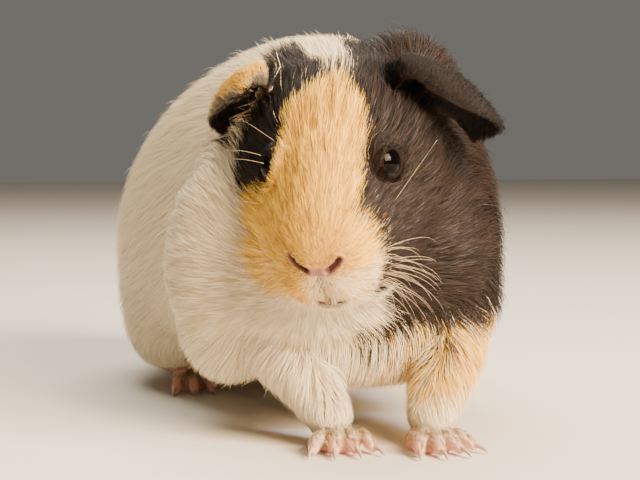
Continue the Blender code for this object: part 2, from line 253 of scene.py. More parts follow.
def tubeRings(route, segments=24, perStep=8, capRings=6):
    # circles along a smooth route of x, y, z and radius, with half a ball at each end
    rows = throughRows(route, perStep)
    points, radii = rows[:, :3], rows[:, 3]
    along = unit(np.gradient(points, axis=0))
    turn = np.linspace(math.pi / 2, 0, capRings, endpoint=False)[:, None]
    start = np.hstack([points[0] - along[0] * radii[0] * np.sin(turn), radii[0] * np.cos(turn)])
    end = np.hstack([points[-1] + along[-1] * radii[-1] * np.sin(turn), radii[-1] * np.cos(turn)])
    rows = np.vstack([start, rows, end[::-1]])
    along = np.vstack([[along[0]] * capRings, along, [along[-1]] * capRings])
    side = unit(np.cross(along, (0.02, 0.31, 0.95)))
    other = np.cross(side, along)
    angle = np.linspace(0, 2 * math.pi, segments, endpoint=False)
    ring = side[:, None] * np.cos(angle)[:, None] + other[:, None] * np.sin(angle)[:, None]
    return rows[:, None, :3] + rows[:, None, 3:] * ring


def ballRings(centre, radii, rings=24, segments=36):
    # an ellipsoid as rings from its front pole to its rear pole
    turn = np.linspace(0, math.pi, rings)[:, None]
    angle = np.linspace(0, 2 * math.pi, segments, endpoint=False)
    ring = np.stack([np.sin(turn) * np.cos(angle), -np.cos(turn) + 0 * angle,
                     np.sin(turn) * np.sin(angle)], axis=-1)
    return np.array(centre) + ring * np.array(radii)


def quadsBetween(corner, beside):
    # quads between lines of point numbers and the lines that lie beside them
    return np.stack([corner[:, :-1], beside[:, :-1], beside[:, 1:], corner[:, 1:]], -1).reshape(-1, 4)


def closedLoft(rings):
    # a closed surface through the rings, whose first and last ring become one point each
    count, segments = rings.shape[:2]
    points = np.vstack([rings[1:-1].reshape(-1, 3), rings[0].mean(axis=0), rings[-1].mean(axis=0)])
    pole = (count - 2) * segments
    corner = np.arange(pole).reshape(1, -1, segments)
    beside = np.roll(corner, -1, axis=2)
    first, last = corner[0, 0] * 0 + pole, corner[0, -1] * 0 + pole + 1
    caps = np.vstack([np.stack([first, beside[0, 0], corner[0, 0]], -1),
                      np.stack([last, corner[0, -1], beside[0, -1]], -1)])
    return outwards(points, [quadsBetween(corner, beside), caps])


def outwards(points, faces):
    # turns all faces round if the volume that they enclose comes out negative
    triangles = np.vstack([group[:, [0, at, at + 1]] for group in faces
                           for at in range(1, group.shape[1] - 1)])
    a, b, c = (points[triangles[:, corner]] for corner in range(3))
    if np.einsum("ij,ij->i", a, np.cross(b, c)).sum() < 0:
        faces = [group[:, ::-1] for group in faces]
    return points, faces


def joined(forms):
    points, faces, count = [], [], 0
    for formPoints, formFaces in forms:
        points.append(formPoints)
        faces += [group + count for group in formFaces]
        count += len(formPoints)
    return np.vstack(points), faces


def turnAbout(axis, degrees):
    angle = math.radians(degrees)
    cos, sin = math.cos(angle), math.sin(angle)
    turned = {0: ((1, 0, 0), (0, cos, -sin), (0, sin, cos)),
              1: ((cos, 0, sin), (0, 1, 0), (-sin, 0, cos)),
              2: ((cos, -sin, 0), (sin, cos, 0), (0, 0, 1))}
    return np.array(turned[axis])


# The trunk's rows: distance back, sideways place of the spine, half width, height of the back, height
# of the belly and roundness of the upper half. The head's rows are the same in its own frame.
bodyForm = {
    "trunk": ((9, 0, 0, 50, 50, 0.9), (13, 1, 26, 72, 26, 0.9), (26, 3, 39, 92, 13.5, 0.9),
              (48, 6, 46, 107, 11, 0.9), (76, 5, 49, 114, 10, 0.95), (106, 1, 52, 112, 8, 1),
              (136, -2, 50, 102, 7, 1), (162, -6, 39, 83, 12, 1), (177, -8, 23, 67, 26, 1),
              (182, -9, 0, 48, 48, 1)),
    "trunkWidest": 0.42, "trunkUnder": 0.8,
    "neckStart": (0, 50, -5), "neckEnd": (9, 76, 68), "neckRadii": (29, 43),
    "shoulder": ((31, 46, 46), (20, 24, 34)),
    "haunch": ((34, 124, 31), (17.5, 32, 27.5)),
    "ruff": ((21, 50, 82), (22, 24, 34)),
    "voxel": 1.3, "smoothing": 18, "fineVoxel": 0.66, "kept": 0.07,
}
headForm = {
    "rows": ((0, 0, 0, -4, -4, 0.9), (2.2, 0, 8.5, 4, -15, 0.9), (8, 0, 14, 9, -24, 0.95),
             (17, 0, 18.5, 13.5, -29, 1.1), (29, 0, 24, 18.5, -33, 1.3), (42, 0, 28.5, 22, -36, 1.1),
             (56, 0, 30, 23.5, -36, 0.8), (70, 0, 27, 20, -29, 0.8), (82, 0, 0, -2, -2, 0.8)),
    "widest": 0.4, "under": 0.9,
    "noseTip": (-22.5, -15, 52.5), "turn": 23, "pitch": 32, "roll": 3,
}
eyeForm = {
    "centre": (12.4, 31, 6.2), "radius": 5.6,
    "outward": (0.80, -0.46, 0.33),  # the way the middle of the eye looks, left side
    "opening": 35,  # degrees from the middle of the eye to the edge of the lids
    "lidHeight": 0.3, "lidWidth": 9, "fillet": 3.2,  # width in degrees
    "rollWidth": 8,  # degrees from the inner to the outer edge of the roll of skin round the opening
    "roll": ((0, 0.15, 0.35, 0.6, 1), (-0.5, 0.02, 0.2, 0.15, -0.6)),  # part of the width, then height
    "bareReach": 2.6, "bareAngle": 6, "shortReach": 5, "shortest": 0.2,  # hair round the eye
    # colours from the middle outwards, with the share of a quarter turn at which each holds
    "pupilAndIris": ((0.30, "#050303"), (0.42, "#0B0604")),
}
noseForm = {
    "middle": -1.8, "lean": -0.13,  # sideways place of the nose, and how that changes upwards
    "reach": 9,  # how far back from the tip its parts are looked for
    "nostril": ((5.9, -2.4), (4.9, -3.6), (2.8, -5.1)), "nostrilDepth": 1.2, "nostrilWidth": 0.75,
    "rim": 0.25, "rimPlace": 1.3, "rimWidth": 0.7,
    "groove": (-7, -15), "grooveDepth": 0.5, "grooveWidth": 0.5,
    "mouthMiddle": 0.6, "mouthHeight": -16.7, "mouthHalf": 3.1, "mouthBend": 0.06,
    "mouthDepth": 1.5, "mouthWidth": 0.55,
    # whisker pads and lower lip: height, then place and width beside the middle, and upwards
    "swellings": ((1.1, 5.0, 3.4, -12.0, 3.6), (1.3, 0, 6, -17.8, 3.0)), "swellingReach": 12,
    "chin": 1.2, "chinReach": 16,  # how far the chin stands back under the lip
    "bridge": (3.8, 1.4, -5.3),  # bare skin between the nostrils: half width, half height, place
}
earForm = {
    "root": ((18.5, 49.5, 19.5), (18.5, 56, 22.5), (21.5, 63, 17), (26, 63, 3)),
    "rim": ((24, 48.5, 17), (32.5, 50, 10), (43, 58.5, -2), (35, 64, -9)),
    "spread": {1: 1.0, -1: 0.72}, "dome": 3.0, "domeEdge": 0.15, "thickness": 1.2,
    "inside": (6, 58, -2), "sunk": 0.3,  # the first row lies this share of the way to a place in the head
}
legForm = {
    "foreleg": {1: ((27, 31, 33, 14), (25, 25, 24, 12.2), (20, 16, 14.5, 8.6), (14.5, 8, 7, 6.2)),
                -1: ((-25, 36, 33, 14), (-20.5, 29, 24, 11.8), (-14.5, 21, 14.5, 8),
                     (-11.5, 15, 7, 6))},
    "legDepth": (5.5, 4.5, 2.3, 1.0),  # depth of the coat down a foreleg
    "forefoot": {1: (12.8, 4.5, 9), -1: (-10.4, 11.5, -6)},
    "hindfoot": {1: (33, 126, 10), -1: (-29, 122.5, -6)},
    "foreSole": (6.4, 7.6, 6.4), "hindSole": (6.2, 19.0, 6.5), "soleLift": 0.2,
    "foreToes": ((-5.3, -26, 5.8), (-1.75, -8, 7.4), (1.75, 8, 7.4), (5.3, 26, 5.8)),
    "hindToes": ((-4.1, -12, 9.0), (0, 0, 10.5), (4.1, 12, 9.0)),
    "foreRoot": -3.5, "hindRoot": -13, "foreRadius": 1.5, "hindRadius": 1.65,
    "thinner": 0.3,  # how far a foot's skin lies inside its solid
}

headAxes = (turnAbout(2, -headForm["turn"]) @ turnAbout(0, headForm["pitch"])
            @ turnAbout(1, -headForm["roll"]))
noseTip = np.array(headForm["noseTip"])


def fromHead(points):
    return np.asarray(points, float) @ headAxes.T + noseTip


def toHead(points):
    return (points - noseTip) @ headAxes


# depth of the coat, which also sets the length of the hair

coatDepths = {
    "headDepth": ((0, 5, 10, 18, 28, 42, 58), (0.35, 0.6, 1.1, 1.7, 2.3, 3.6, 6.0)),
    "lowDepth": ((3, 8, 15, 24, 40), (0.4, 1.35, 2.5, 4.5, 6.5)),
    "bodyDepth": 6.5,
}


def headShare(points):
    # 1 on the head, 0 on the body, with a soft border behind the cheeks and under the chin
    back, up = toHead(points).T[1:]
    return fade(back, 46, 66) * smoothStep(up, -44, -30)


def coatDepth(points):
    onHead = np.interp(toHead(points)[:, 1], *coatDepths["headDepth"])
    onBody = np.minimum(coatDepths["bodyDepth"], np.interp(points[:, 2], *coatDepths["lowDepth"]))
    share = headShare(points)
    return share * onHead + (1 - share) * onBody


# skin

def bodyForms():
    trunk = closedLoft(bodyRings(bodyForm["trunk"], bodyForm["trunkWidest"],
                                 bodyForm["trunkUnder"]))
    head = closedLoft(fromHead(bodyRings(headForm["rows"], headForm["widest"],
                                         headForm["under"])))
    start, end = fromHead(bodyForm["neckStart"]), bodyForm["neckEnd"]
    neck = closedLoft(tubeRings(((*start, bodyForm["neckRadii"][0]),
                                 (*end, bodyForm["neckRadii"][1])), 48))
    forms = [trunk, head, neck, closedLoft(ballRings(*bodyForm["ruff"]))]
    for side in (1, -1):
        for name in ("shoulder", "haunch"):
            (x, y, z), radii = bodyForm[name]
            forms.append(closedLoft(ballRings((side * x, y, z), radii)))
    return forms


def earSheet(side, rows=22, perStep=10):
    # a hood between its root on the head and its free rim, raised most in its middle. Returned in the
    # head's frame, with a first row that is sunk into the head
    flip = np.array([side, 1, 1])
    root = throughRows(earForm["root"], perStep)
    rim = root + earForm["spread"][side] * (throughRows(earForm["rim"], perStep) - root)
    share = np.linspace(0, 1, rows)[:, None, None]
    sheet = root + share * (rim - root)
    column = np.linspace(earForm["domeEdge"], 1 - earForm["domeEdge"], len(root))[:, None]
    outward = unit(np.cross(np.gradient(sheet, axis=0), np.gradient(sheet, axis=1)))
    sheet = sheet + earForm["dome"] * np.sin(math.pi * share) * np.sin(math.pi * column) * outward
    inside = root + earForm["sunk"] * (np.array(earForm["inside"]) - root)
    return np.concatenate([inside[None], sheet]) * flip


def thickSheet(sheet, thickness):
    # a closed plate round a sheet of points: its upper side, its underside and a strip round them
    rows, columns = sheet.shape[:2]
    normal = unit(np.cross(np.gradient(sheet, axis=0), np.gradient(sheet, axis=1)))
    points = np.concatenate([sheet + normal * thickness / 2, sheet - normal * thickness / 2])
    corner = np.arange(rows * columns).reshape(rows, columns)
    quads = quadsBetween(corner[:-1], corner[1:])
    edge = np.concatenate([corner[0, :-1], corner[:-1, -1], corner[-1, :0:-1], corner[:0:-1, 0]])
    following = np.roll(edge, -1)
    count = rows * columns
    strip = np.stack([edge, following, following + count, edge + count], -1)
    return outwards(points.reshape(-1, 3), [quads, quads[:, ::-1] + count, strip])


def footFrame(place, points):
    x, y, turn = place
    return np.asarray(points, float) @ turnAbout(2, turn).T + np.array([x, y, 0])


def soleForm(place, size):
    halfWidth, halfLength, top = np.array(size) - legForm["thinner"]
    lift = legForm["soleLift"]
    points, faces = closedLoft(ballRings((0, 0, top * lift), (halfWidth, halfLength, top * (1 - lift))))
    points[:, 2] = np.maximum(points[:, 2], 0)
    return footFrame(place, points), faces


def toeRoute(place, start, thickness, across, fan, length):
    # from inside the foot over the knuckle to the tip, set down on the floor
    share, height, radius = np.array(((-0.35, 3.4, 0.9), (0.3, 3.7, 1), (0.75, 2.4, 1), (1, 1.4, 0.85))).T
    way = turnAbout(2, fan) @ (0, -1, 0)
    points = np.array([across, start, 0]) + way * (length * share)[:, None]
    points[:, 2] = height
    return np.hstack([footFrame(place, points), (thickness * radius)[:, None]])


def toeRoutes():
    for kind, toes in (("fore", "foreToes"), ("hind", "hindToes")):
        for side in (1, -1):
            place = legForm[kind + "foot"][side]
            for toe in legForm[toes]:
                yield toeRoute(place, legForm[kind + "Root"], legForm[kind + "Radius"], *toe)


def limbForms():
    forms = []
    for side in (1, -1):
        route = np.array(legForm["foreleg"][side], float)
        route[:, 3] -= legForm["legDepth"]
        forms.append(closedLoft(tubeRings(route)))
        forms.append(soleForm(legForm["forefoot"][side], legForm["foreSole"]))
        forms.append(soleForm(legForm["hindfoot"][side], legForm["hindSole"]))
        forms.append(thickSheet(fromHead(earSheet(side)), earForm["thickness"]))
    forms += [closedLoft(tubeRings(route, 16, 4, 4)) for route in toeRoutes()]
    return forms


def earPlace(points, side, reach=14):
    # for the points round an ear: distance to its sheet, share of the way from root to rim, and height
    # over the sheet on its outer face, negative in the hollow
    sheet = fromHead(earSheet(side, 12, 4)[1:])
    outward = unit(np.cross(np.gradient(sheet, axis=0), np.gradient(sheet, axis=1))) * side
    share = np.repeat(np.linspace(0, 1, sheet.shape[0]), sheet.shape[1])
    sheet, outward = sheet.reshape(-1, 3), outward.reshape(-1, 3)
    distance, along, over = np.full(len(points), 99.0), np.zeros(len(points)), np.zeros(len(points))
    box = (points > sheet.min(axis=0) - reach) & (points < sheet.max(axis=0) + reach)
    close = np.flatnonzero(box.all(axis=1))
    for part in np.array_split(close, 1 + len(close) // 40000):
        apart = points[part, None] - sheet[None]
        squares = np.einsum("ijk,ijk->ij", apart, apart)
        best = squares.argmin(axis=1)
        distance[part] = np.sqrt(squares[np.arange(len(part)), best])
        along[part] = share[best]
        over[part] = np.einsum("ij,ij->i", points[part] - sheet[best], outward[best])
    return distance, along, over


def earDistance(points):
    return np.minimum(earPlace(points, 1)[0], earPlace(points, -1)[0])


def toSegments(places, corners):
    # distance in a plane from each place to a broken line
    best = np.full(len(places), 99.0)
    for start, end in zip(corners, corners[1:]):
        start, way = np.array(start, float), np.array(end, float) - np.array(start, float)
        share = np.clip((places - start) @ way / (way @ way), 0, 1)[:, None]
        best = np.minimum(best, np.linalg.norm(places - start - share * way, axis=1))
    return best


def noseMasks(points):
    # distances to the nostril slits, the groove under the nose and the mouth
    across, back, up = toHead(points).T
    beside = np.abs(across - noseForm["middle"] - noseForm["lean"] * (up + 4))
    front = back < noseForm["reach"]
    nostril = toSegments(np.stack([beside, up], -1), noseForm["nostril"])
    top, bottom = noseForm["groove"]
    groove = np.hypot(beside, np.maximum(0, np.maximum(up - top, bottom - up)))
    fromMouth = np.abs(across - noseForm["mouthMiddle"])
    mouth = np.abs(up - noseForm["mouthHeight"] - noseForm["mouthBend"] * fromMouth**2)
    mouth = np.hypot(mouth, np.maximum(0, fromMouth - noseForm["mouthHalf"]))
    return [np.where(front, value, 99.0) for value in (nostril, groove, mouth)] + [beside, up, back]


def eyeFrame(side):
    flip = np.array([side, 1, 1])
    return fromHead(np.array(eyeForm["centre"]) * flip), headAxes @ unit(
        np.array(eyeForm["outward"]) * flip)


def fromEye(points, side):
    # from the middle of the eye: the way, its length, how far along the eye's look, and the angle to it
    centre, outward = eyeFrame(side)
    apart = points - centre
    distance = np.maximum(np.linalg.norm(apart, axis=1), 1e-6)
    ahead = apart @ outward
    return apart, distance, ahead, np.arccos(np.clip(ahead / distance, -1, 1))


def fromLids(points, side):
    # distance from the edge of the lids, over the eye and out of it
    distance, angle = fromEye(points, side)[1::2]
    over = eyeForm["radius"] * np.maximum(angle - math.radians(eyeForm["opening"]), 0)
    return np.hypot(np.maximum(distance - eyeForm["radius"], 0), over)


def shapeHead(points, normals):
    # grooves and swellings of the muzzle, and lids that lie on the eyes
    nostril, groove, mouth, beside, up, back = noseMasks(points)
    rise = noseForm["rim"] * hump(nostril - noseForm["rimPlace"], noseForm["rimWidth"])
    for name, apart in (("nostril", nostril), ("groove", groove), ("mouth", mouth)):
        rise -= noseForm[name + "Depth"] * hump(apart, noseForm[name + "Width"])
    for height, middle, width, level, tall in noseForm["swellings"]:
        rise += (height * np.exp(-((beside - middle) / width) ** 2 - ((up - level) / tall) ** 2)
                 * (back < noseForm["swellingReach"]))
    below = smoothStep(-up, 19, 21) * fade(-up, 24, 29) * fade(beside, 7, 14)
    rise -= noseForm["chin"] * below * (back < noseForm["chinReach"])
    points = points + normals * rise[:, None]
    radius = eyeForm["radius"]
    for side in (1, -1):
        # the skin is draped over the eye with a fillet: the larger of two distances, rounded where they
        # are nearly equal
        apart, distance, ahead, angle = fromEye(points, side)
        past = np.degrees(angle) - eyeForm["opening"]
        lid = radius + 0.25 + eyeForm["lidHeight"] * hump(past - 4, eyeForm["lidWidth"])
        fillet = eyeForm["fillet"] * smoothStep(past, 4, 30)
        bend = np.maximum(fillet - np.abs(distance - lid), 0) ** 2 / np.maximum(4 * fillet, 1e-6)
        wanted = np.where(past < 1.0, radius - 1.5, np.maximum(distance, lid) + bend)
        near = smoothStep(ahead, -1.5, 0.5) * fade(distance, radius + 3.5, radius + 5)
        points = eyeFrame(side)[0] + apart * (1 + near * (wanted / distance - 1))[:, None]
    return points


def lidRing(side, around=72, across=9):
    # a thin roll of skin round the opening: it starts on the eye, bulges and sinks into the face
    centre, outward = eyeFrame(side)
    first = unit(np.cross(outward, headAxes @ np.array([0, 0, 1.0])))
    second = np.cross(outward, first)
    turn = np.linspace(0, 2 * math.pi, around, endpoint=False)[:, None]
    part = np.linspace(0, 1, across)
    angle = np.radians(eyeForm["opening"] * (1 + 0.05 * np.cos(2 * turn)) - 1 + part * eyeForm["rollWidth"])
    radius = eyeForm["radius"] + np.interp(part, *eyeForm["roll"])
    way = (np.cos(turn)[..., None] * first + np.sin(turn)[..., None] * second) * np.sin(angle)[..., None]
    ring = (way + outward * np.cos(angle)[..., None]) * radius[None, :, None]
    corner = np.arange(around * across).reshape(around, across)
    points, faces = outwards(ring.reshape(-1, 3), [quadsBetween(corner, np.roll(corner, -1, axis=0))])
    return centre + points, faces


def buildSkin():
    # the body's forms are melted together, sunk by the depth of the coat and melted with the limbs
    points, triangles = through(*joined(bodyForms()), voxels(bodyForm["voxel"]))
    points = relax(points, triangles, 0.55, bodyForm["smoothing"])
    points = points - normalsOf(points, triangles) * coatDepth(points)[:, None]
    points = relax(points, triangles, 0.5, 3)
    points, triangles = through(*joined([(points, [triangles])] + limbForms()), voxels(bodyForm["fineVoxel"]))
    ears = earDistance(points)
    detail = smoothStep(np.minimum(ears, points[:, 2] - 4), 2, 9)
    points = relax(points, triangles, 0.12 + 0.43 * detail, 8)
    # away from face, ears and feet, only a few triangles in a hundred are kept
    head = headShare(points) * fade(toHead(points)[:, 1], 34, 44)
    fine = (head > 0.5) | (ears < 4) | (points[:, 2] < 15)
    kept = 2 * np.count_nonzero(fine)
    target = kept + bodyForm["kept"] * (len(triangles) - kept)
    points, triangles = through(points, [triangles], ("DECIMATE", {
        "vertex_group": np.where(fine, 0.0, 1.0), "ratio": target / len(triangles)}))
    points, triangles = finer(points, triangles)
    points = relax(points, triangles, 0.3, 2)
    points = shapeHead(points, normalsOf(points, triangles))
    points[:, 2] = np.maximum(points[:, 2], 0)
    count = len(points)
    points, faces = joined([(points, [triangles]), lidRing(1), lidRing(-1)])
    lids = [quads[:, pick] for quads in faces[1:] for pick in ([0, 1, 2], [0, 2, 3])]
    return points, np.vstack([triangles, *lids]), count


def voxels(size):
    return "REMESH", {"mode": "VOXEL", "voxel_size": size}


def finer(points, triangles):
    # each triangle round the nose and the eyes becomes four, and its neighbours two or three
    centre = points[triangles].mean(axis=1)
    across, back, up = toHead(centre).T
    wanted = (back < noseForm["reach"]) & (up > -22) & (np.abs(across) < 12)
    for side in (1, -1):
        wanted |= np.linalg.norm(centre - eyeFrame(side)[0], axis=1) < eyeForm["radius"] + 3
    edges, place = edgesOf(triangles)
    split = np.zeros(len(edges), bool)
    split[place[wanted].ravel()] = True
    middle = np.full(len(edges), -1)
    middle[split] = len(points) + np.arange(np.count_nonzero(split))
    points = np.vstack([points, points[edges[split]].mean(axis=1)])
    cut = split[place]
    corner = np.hstack([triangles, middle[place]])  # three corners, then the middles of three sides
    made = [triangles[~cut.any(axis=1)]]
    made += [corner[cut.all(axis=1)][:, pick] for pick in ([0, 3, 5], [3, 1, 4], [5, 4, 2], [3, 4, 5])]
    for a, b, c in ((0, 1, 2), (1, 2, 0), (2, 0, 1)):
        one, two = (corner[cut[:, a] & found & ~cut[:, c]] for found in (~cut[:, b], cut[:, b]))
        made += [one[:, pick] for pick in ([a, a + 3, c], [a + 3, b, c])]
        made += [two[:, pick] for pick in ([a, a + 3, c], [a + 3, b, b + 3], [a + 3, b + 3, c])]
    return points, np.vstack(made)


skinPoints, skinTriangles, bodyCount = buildSkin()
skinNormals = normalsOf(skinPoints, skinTriangles)
print("skin:", len(skinTriangles), "triangles")


# markings: cream blaze, right cheek and left front leg, dark left side, white elsewhere

marks = {
    # edges of the blaze on top of the head: distance back, then sideways place
    "blazeLeft": ((-5, 8, 11, 16, 21, 26, 31, 35, 39, 43, 47, 51, 54, 60),
                  (9, 8.6, 8.6, 9.3, 9.4, 9.8, 10.3, 10, 9, 7.2, 5.2, 3.4, 2.4, 1.8)),
    "blazeRight": ((20, 26, 32, 36, 40, 44, 48, 52, 54, 60),
                   (-16, -13.4, -12.3, -12, -11.3, -9.2, -5, -1.5, 0.3, 1.2)),
    # the same edge on the left side of the muzzle: height, then sideways place
    "muzzleLeft": ((-24, -20, -14, -10, -7, -3.4, 0, 3.3, 5.5, 7),
                   (9.5, 10.3, 11.8, 13.3, 14.2, 14, 13, 10.3, 8.6, 8)),
    # lower edge of the dark patch on the right: sideways place, then height
    "patchLow": ((-34, -28, -24.8, -20.3, -15.7, -13.4), (-8, -6.7, -4.2, 0.4, 5.3, 8)),
    # border of the cheek against the white body: height, then distance back
    "cheekBack": ((-30, -22.7, -21.2, -17.4, -11.1, -5.8, -2, 2), (8, 15, 17.5, 22.5, 28, 34, 45, 99)),
    "cheekSide": -28.5,
    # the dark band behind the right ear: distance back, then sideways places of its edges
    "crownRight": ((30, 60, 74), (-22.5, -19, -14)), "crownLeft": ((22, 62), (-11, -5.5)),
    # lower edge of the cream under the muzzle: distance back, then height
    "chinLow": ((2, 7, 15, 20), (-17.6, -18.2, -22.7, -24)),
    # sideways place of the body's dark edge over its height, and on top of the back over the distance back
    "seam": ((30, 60, 90), (-4, 0, 5)), "topSeam": ((15, 30, 54), (-5, -3, 5.5)),
    # the dark share among the cream of the left chest is partly a brown-cream mix and partly painted shade
    # under the head
    "darkBack": (68, 72), "darkLow": (26.5, 31.5), "darkAmongAndShade": 0.4,  # some dark hairs in the cream below
    "legCream": 0.85, "throatCream": 0.3, "creamBack": (40, 60),
    "noseMouthDarkening": ((0.5, 1.9), (0.26, 1.9), (0.3, 1.2)),  # share and width at nostrils, groove and mouth
    # the right patch is dark fur, made near-black partly as painted shade on the far side of the face
    "patchBlackAndShade": 0.85, "crownBlack": 0.15,
    # hair under an ear: how far the painted shade under each ear reaches
    "shadeUnderEar": {1: 13, -1: 10.5}, "earRim": (0.78, 0.94), "earRimDark": 0.85,
}


def markings(points, ragged=1.0):
    # shares of dark, of cream and of black hair at each point, from 0 to 1. The rest is white. Dark and black
    # also carry painted shade in the ear hollows and in the hair under the ears
    head = toHead(points)
    across, back, up = head.T
    x, y, z = points.T
    wander = ragged * (1.2 * smoothNoise(points, 3.2, 11) + 0.8 * smoothNoise(points, 1.3, 12))

    def edge(name, values):
        return np.interp(values, *marks[name])

    blazeLeft = edge("blazeLeft", back)
    blazeLeft = np.where(up < 6, np.maximum(blazeLeft, edge("muzzleLeft", up)), blazeLeft)
    # the dark patch over the right eye runs up to the ear and over the forehead
    patch = border(up + wander - edge("patchLow", across), 0.6)
    patch *= border(edge("blazeRight", back) - across + wander, 0.6) * smoothStep(back, 19, 22)
    dark = np.maximum(border(across + wander - blazeLeft, 0.6), patch)
    # white: behind the right cheek, under the chin and, paler than the cream, round the mouth
    behind = border(back + wander - edge("cheekBack", up), 0.8) * smoothStep(-across, -6, -2)
    beside = border(marks["cheekSide"] - across + 0.6 * wander, 0.8) * (up < 0)
    chin = border(edge("chinLow", back) - up + 0.6 * wander, 0.8) * (back < 20)
    white = np.maximum(np.maximum(behind, beside), chin)
    lips = smoothStep(-up + 0.5 * wander, 4.5, 7.5) * smoothStep(across + 0.5 * wander, -6.5, -3)
    lips *= back < 14
    cream = (1 - dark) * (1 - white) * (1 - 0.72 * lips)
    dark = dark * (1 - white * (up < 2))
    # brownish hairs round the nostrils, the groove and the mouth
    noseMouthDarkening = sum(share * hump(apart, width)
                 for (share, width), apart in zip(marks["noseMouthDarkening"], noseMasks(points)))
    dark = np.maximum(dark, noseMouthDarkening)
    # body: dark over the left shoulder and neck, with cream under it
    onTop = smoothStep(z, 90, 100)
    seam = x + 1.5 * wander - (1 - onTop) * edge("seam", z) - onTop * edge("topSeam", y)
    bodyDark = border(seam, 1.5) * fade(y + 2.5 * wander, *marks["darkBack"])
    # dark hairs among the cream of the left chest: partly a brown-cream mix, partly painted shade under the
    # head
    amongAndShade = marks["darkAmongAndShade"] * smoothStep(z + 2 * wander, 16, 25) * fade(x, 20, 27)
    bodyDark *= np.maximum(smoothStep(z + 2.2 * wander, *marks["darkLow"]), amongAndShade)
    under = (marks["legCream"] * smoothStep(z, 7, 18) * smoothStep(x + 2 * wander, -4, 20)
             * fade(y + 2 * wander, *marks["creamBack"]) * (1 - bodyDark))
    throat = smoothStep(z, 22, 32) * fade(np.abs(x + 4), 8, 22) * fade(y, 20, 34) * marks["throatCream"]
    bodyCream = np.maximum(under * (z < 50), throat * (1 - bodyDark))
    share = smoothStep(headShare(points), 0.4, 0.6)
    dark = share * dark + (1 - share) * bodyDark
    cream = share * cream + (1 - share) * bodyCream
    # crown: dark hair from the forehead runs up beside the right ear, between white and the blaze
    crown = border(x + wander - edge("crownRight", y), 1) * smoothStep(z, 91, 94) * (1 - share)
    crown *= fade(y + wander, 70, 76)
    atBlaze = 0.5 * fade(y + wander, 24, 30) * fade(x, -6, -4)
    crown *= np.where(edge("crownLeft", y) - x - wander > 0, 1, atBlaze)
    dark = np.maximum(dark, crown)
    cream = cream * (1 - crown)
    # near-black over the right patch is partly painted shade; the crown gets a little near-black too
    blackAndShade = np.maximum(marks["patchBlackAndShade"] * patch * share, marks["crownBlack"] * crown)
    for side in (1, -1):
        distance, along, over = earPlace(points, side)
        ear = fade(distance, 2.2, 3.4)
        # painted shade: the hollow under each ear flap is made dark and near-black
        hollowShade = border(-over, 0.3) * ear
        # painted shade: the hair that the ear hangs over is made dark and near-black, as the shade under the
        # flap
        below = smoothStep(-over, 1.5, 3.5) * (1 - ear) * fade(distance + wander, 8, marks["shadeUnderEar"][side])
        if side < 0:
            below *= smoothStep(across + wander, -30, -27)
        dark, cream, blackAndShade = np.maximum(dark, below), cream * (1 - below), np.maximum(blackAndShade, below)
        if side > 0:
            # the left ear is dark and near-black all over: dark fur, deepened partly as painted shade
            dark, cream, earBlackAndShade = np.maximum(dark, ear), cream * (1 - ear), ear
        else:
            # the right ear is cream over its root and grey-brown at its front corner and towards its rim
            corner = np.linalg.norm(head - np.array(earForm["root"][0]) * (-1, 1, 1), axis=1)
            rim = np.maximum(smoothStep(along + 0.06 * wander, *marks["earRim"]), fade(corner, 2, 3.5))
            rim = marks["earRimDark"] * rim
            dark = (1 - ear) * dark + ear * np.maximum(hollowShade, rim)
            cream, earBlackAndShade = (1 - ear) * cream + ear * (1 - hollowShade) * (1 - rim), 0
        blackAndShade = np.maximum(blackAndShade * (1 - ear * (1 - hollowShade)), np.maximum(hollowShade, earBlackAndShade))
    return dark, cream, blackAndShade


# coat: hair in flat tapered locks, laid along the skin

class SkinLookup:
    # the nearest point of the skin from anywhere near it, by way of a lattice of cells
    def __init__(self, points, cell=2.0, room=12):
        self.cell, self.low = cell, points.min(axis=0) - room
        self.shape = np.ceil((points.max(axis=0) + room - self.low) / cell).astype(int)
        self.grid = np.full(self.shape, -1)
        self.grid[self.cellOf(points)] = np.arange(len(points))
        centres = np.stack(np.meshgrid(*map(np.arange, self.shape), indexing="ij"), -1)
        centres = (centres + 0.5) * cell + self.low
        best = self.apart(self.grid, points, centres)
        for reach in (4, 2, 1, 1):
            for shift in itertools.product((-reach, 0, reach), repeat=3):
                moved = np.roll(self.grid, shift, axis=(0, 1, 2))
                apart = self.apart(moved, points, centres)
                better = apart < best
                self.grid[better], best[better] = moved[better], apart[better]

    def apart(self, grid, points, centres):
        return np.where(grid >= 0, np.linalg.norm(points[grid] - centres, axis=-1), 1e6)

    def cellOf(self, places):
        return tuple(np.clip(((places - self.low) / self.cell).astype(int), 0, self.shape - 1).T)

    def nearest(self, places):
        return self.grid[self.cellOf(places)]


fur = {
    "seed": 7, "cover": 6.5,  # how many hairs lie over each other
    "lengthBase": 1.1, "lengthPerDepth": 2.1, "widthBase": 0.062, "widthPerLength": 0.0092,
    "fill": 0.62,  # a hair's own area, as a share of its length times its width
    "earDepth": 0.8, "earCover": 0.8, "pawCover": 1.6, "hindPawCover": 0.3, "pawWidth": 1.7,
    "farCover": 0.85, "undersideCover": 0.4,
    "uneven": (0.75, 1.2), "liftShare": (0.45, 1.0),  # least and most of a hair's length and lift
    "standing": 0.03, "standingLift": 1.25,  # share of hairs that stand out, and how far
    "rootDepth": 0.25, "waver": 0.07, "roll": 0.42,
    "loose": 0.45, "earLoose": 0.8, "earHair": 0.65,
    "blur": (0.7, 0.35),  # how far the colours mingle on the head and on the body
    # the lock tone paints light on raised locks and shade in the low gaps between them
    "spread": (0.26, 0.2), "lockLightAndShade": (0.75, 0.1), "lockLift": 0.35,  # how much hairs differ there
    "tone": 0.42, "patch": 0.0015, "mostTriangles": 196000,
}
chance = np.random.default_rng(fur["seed"])


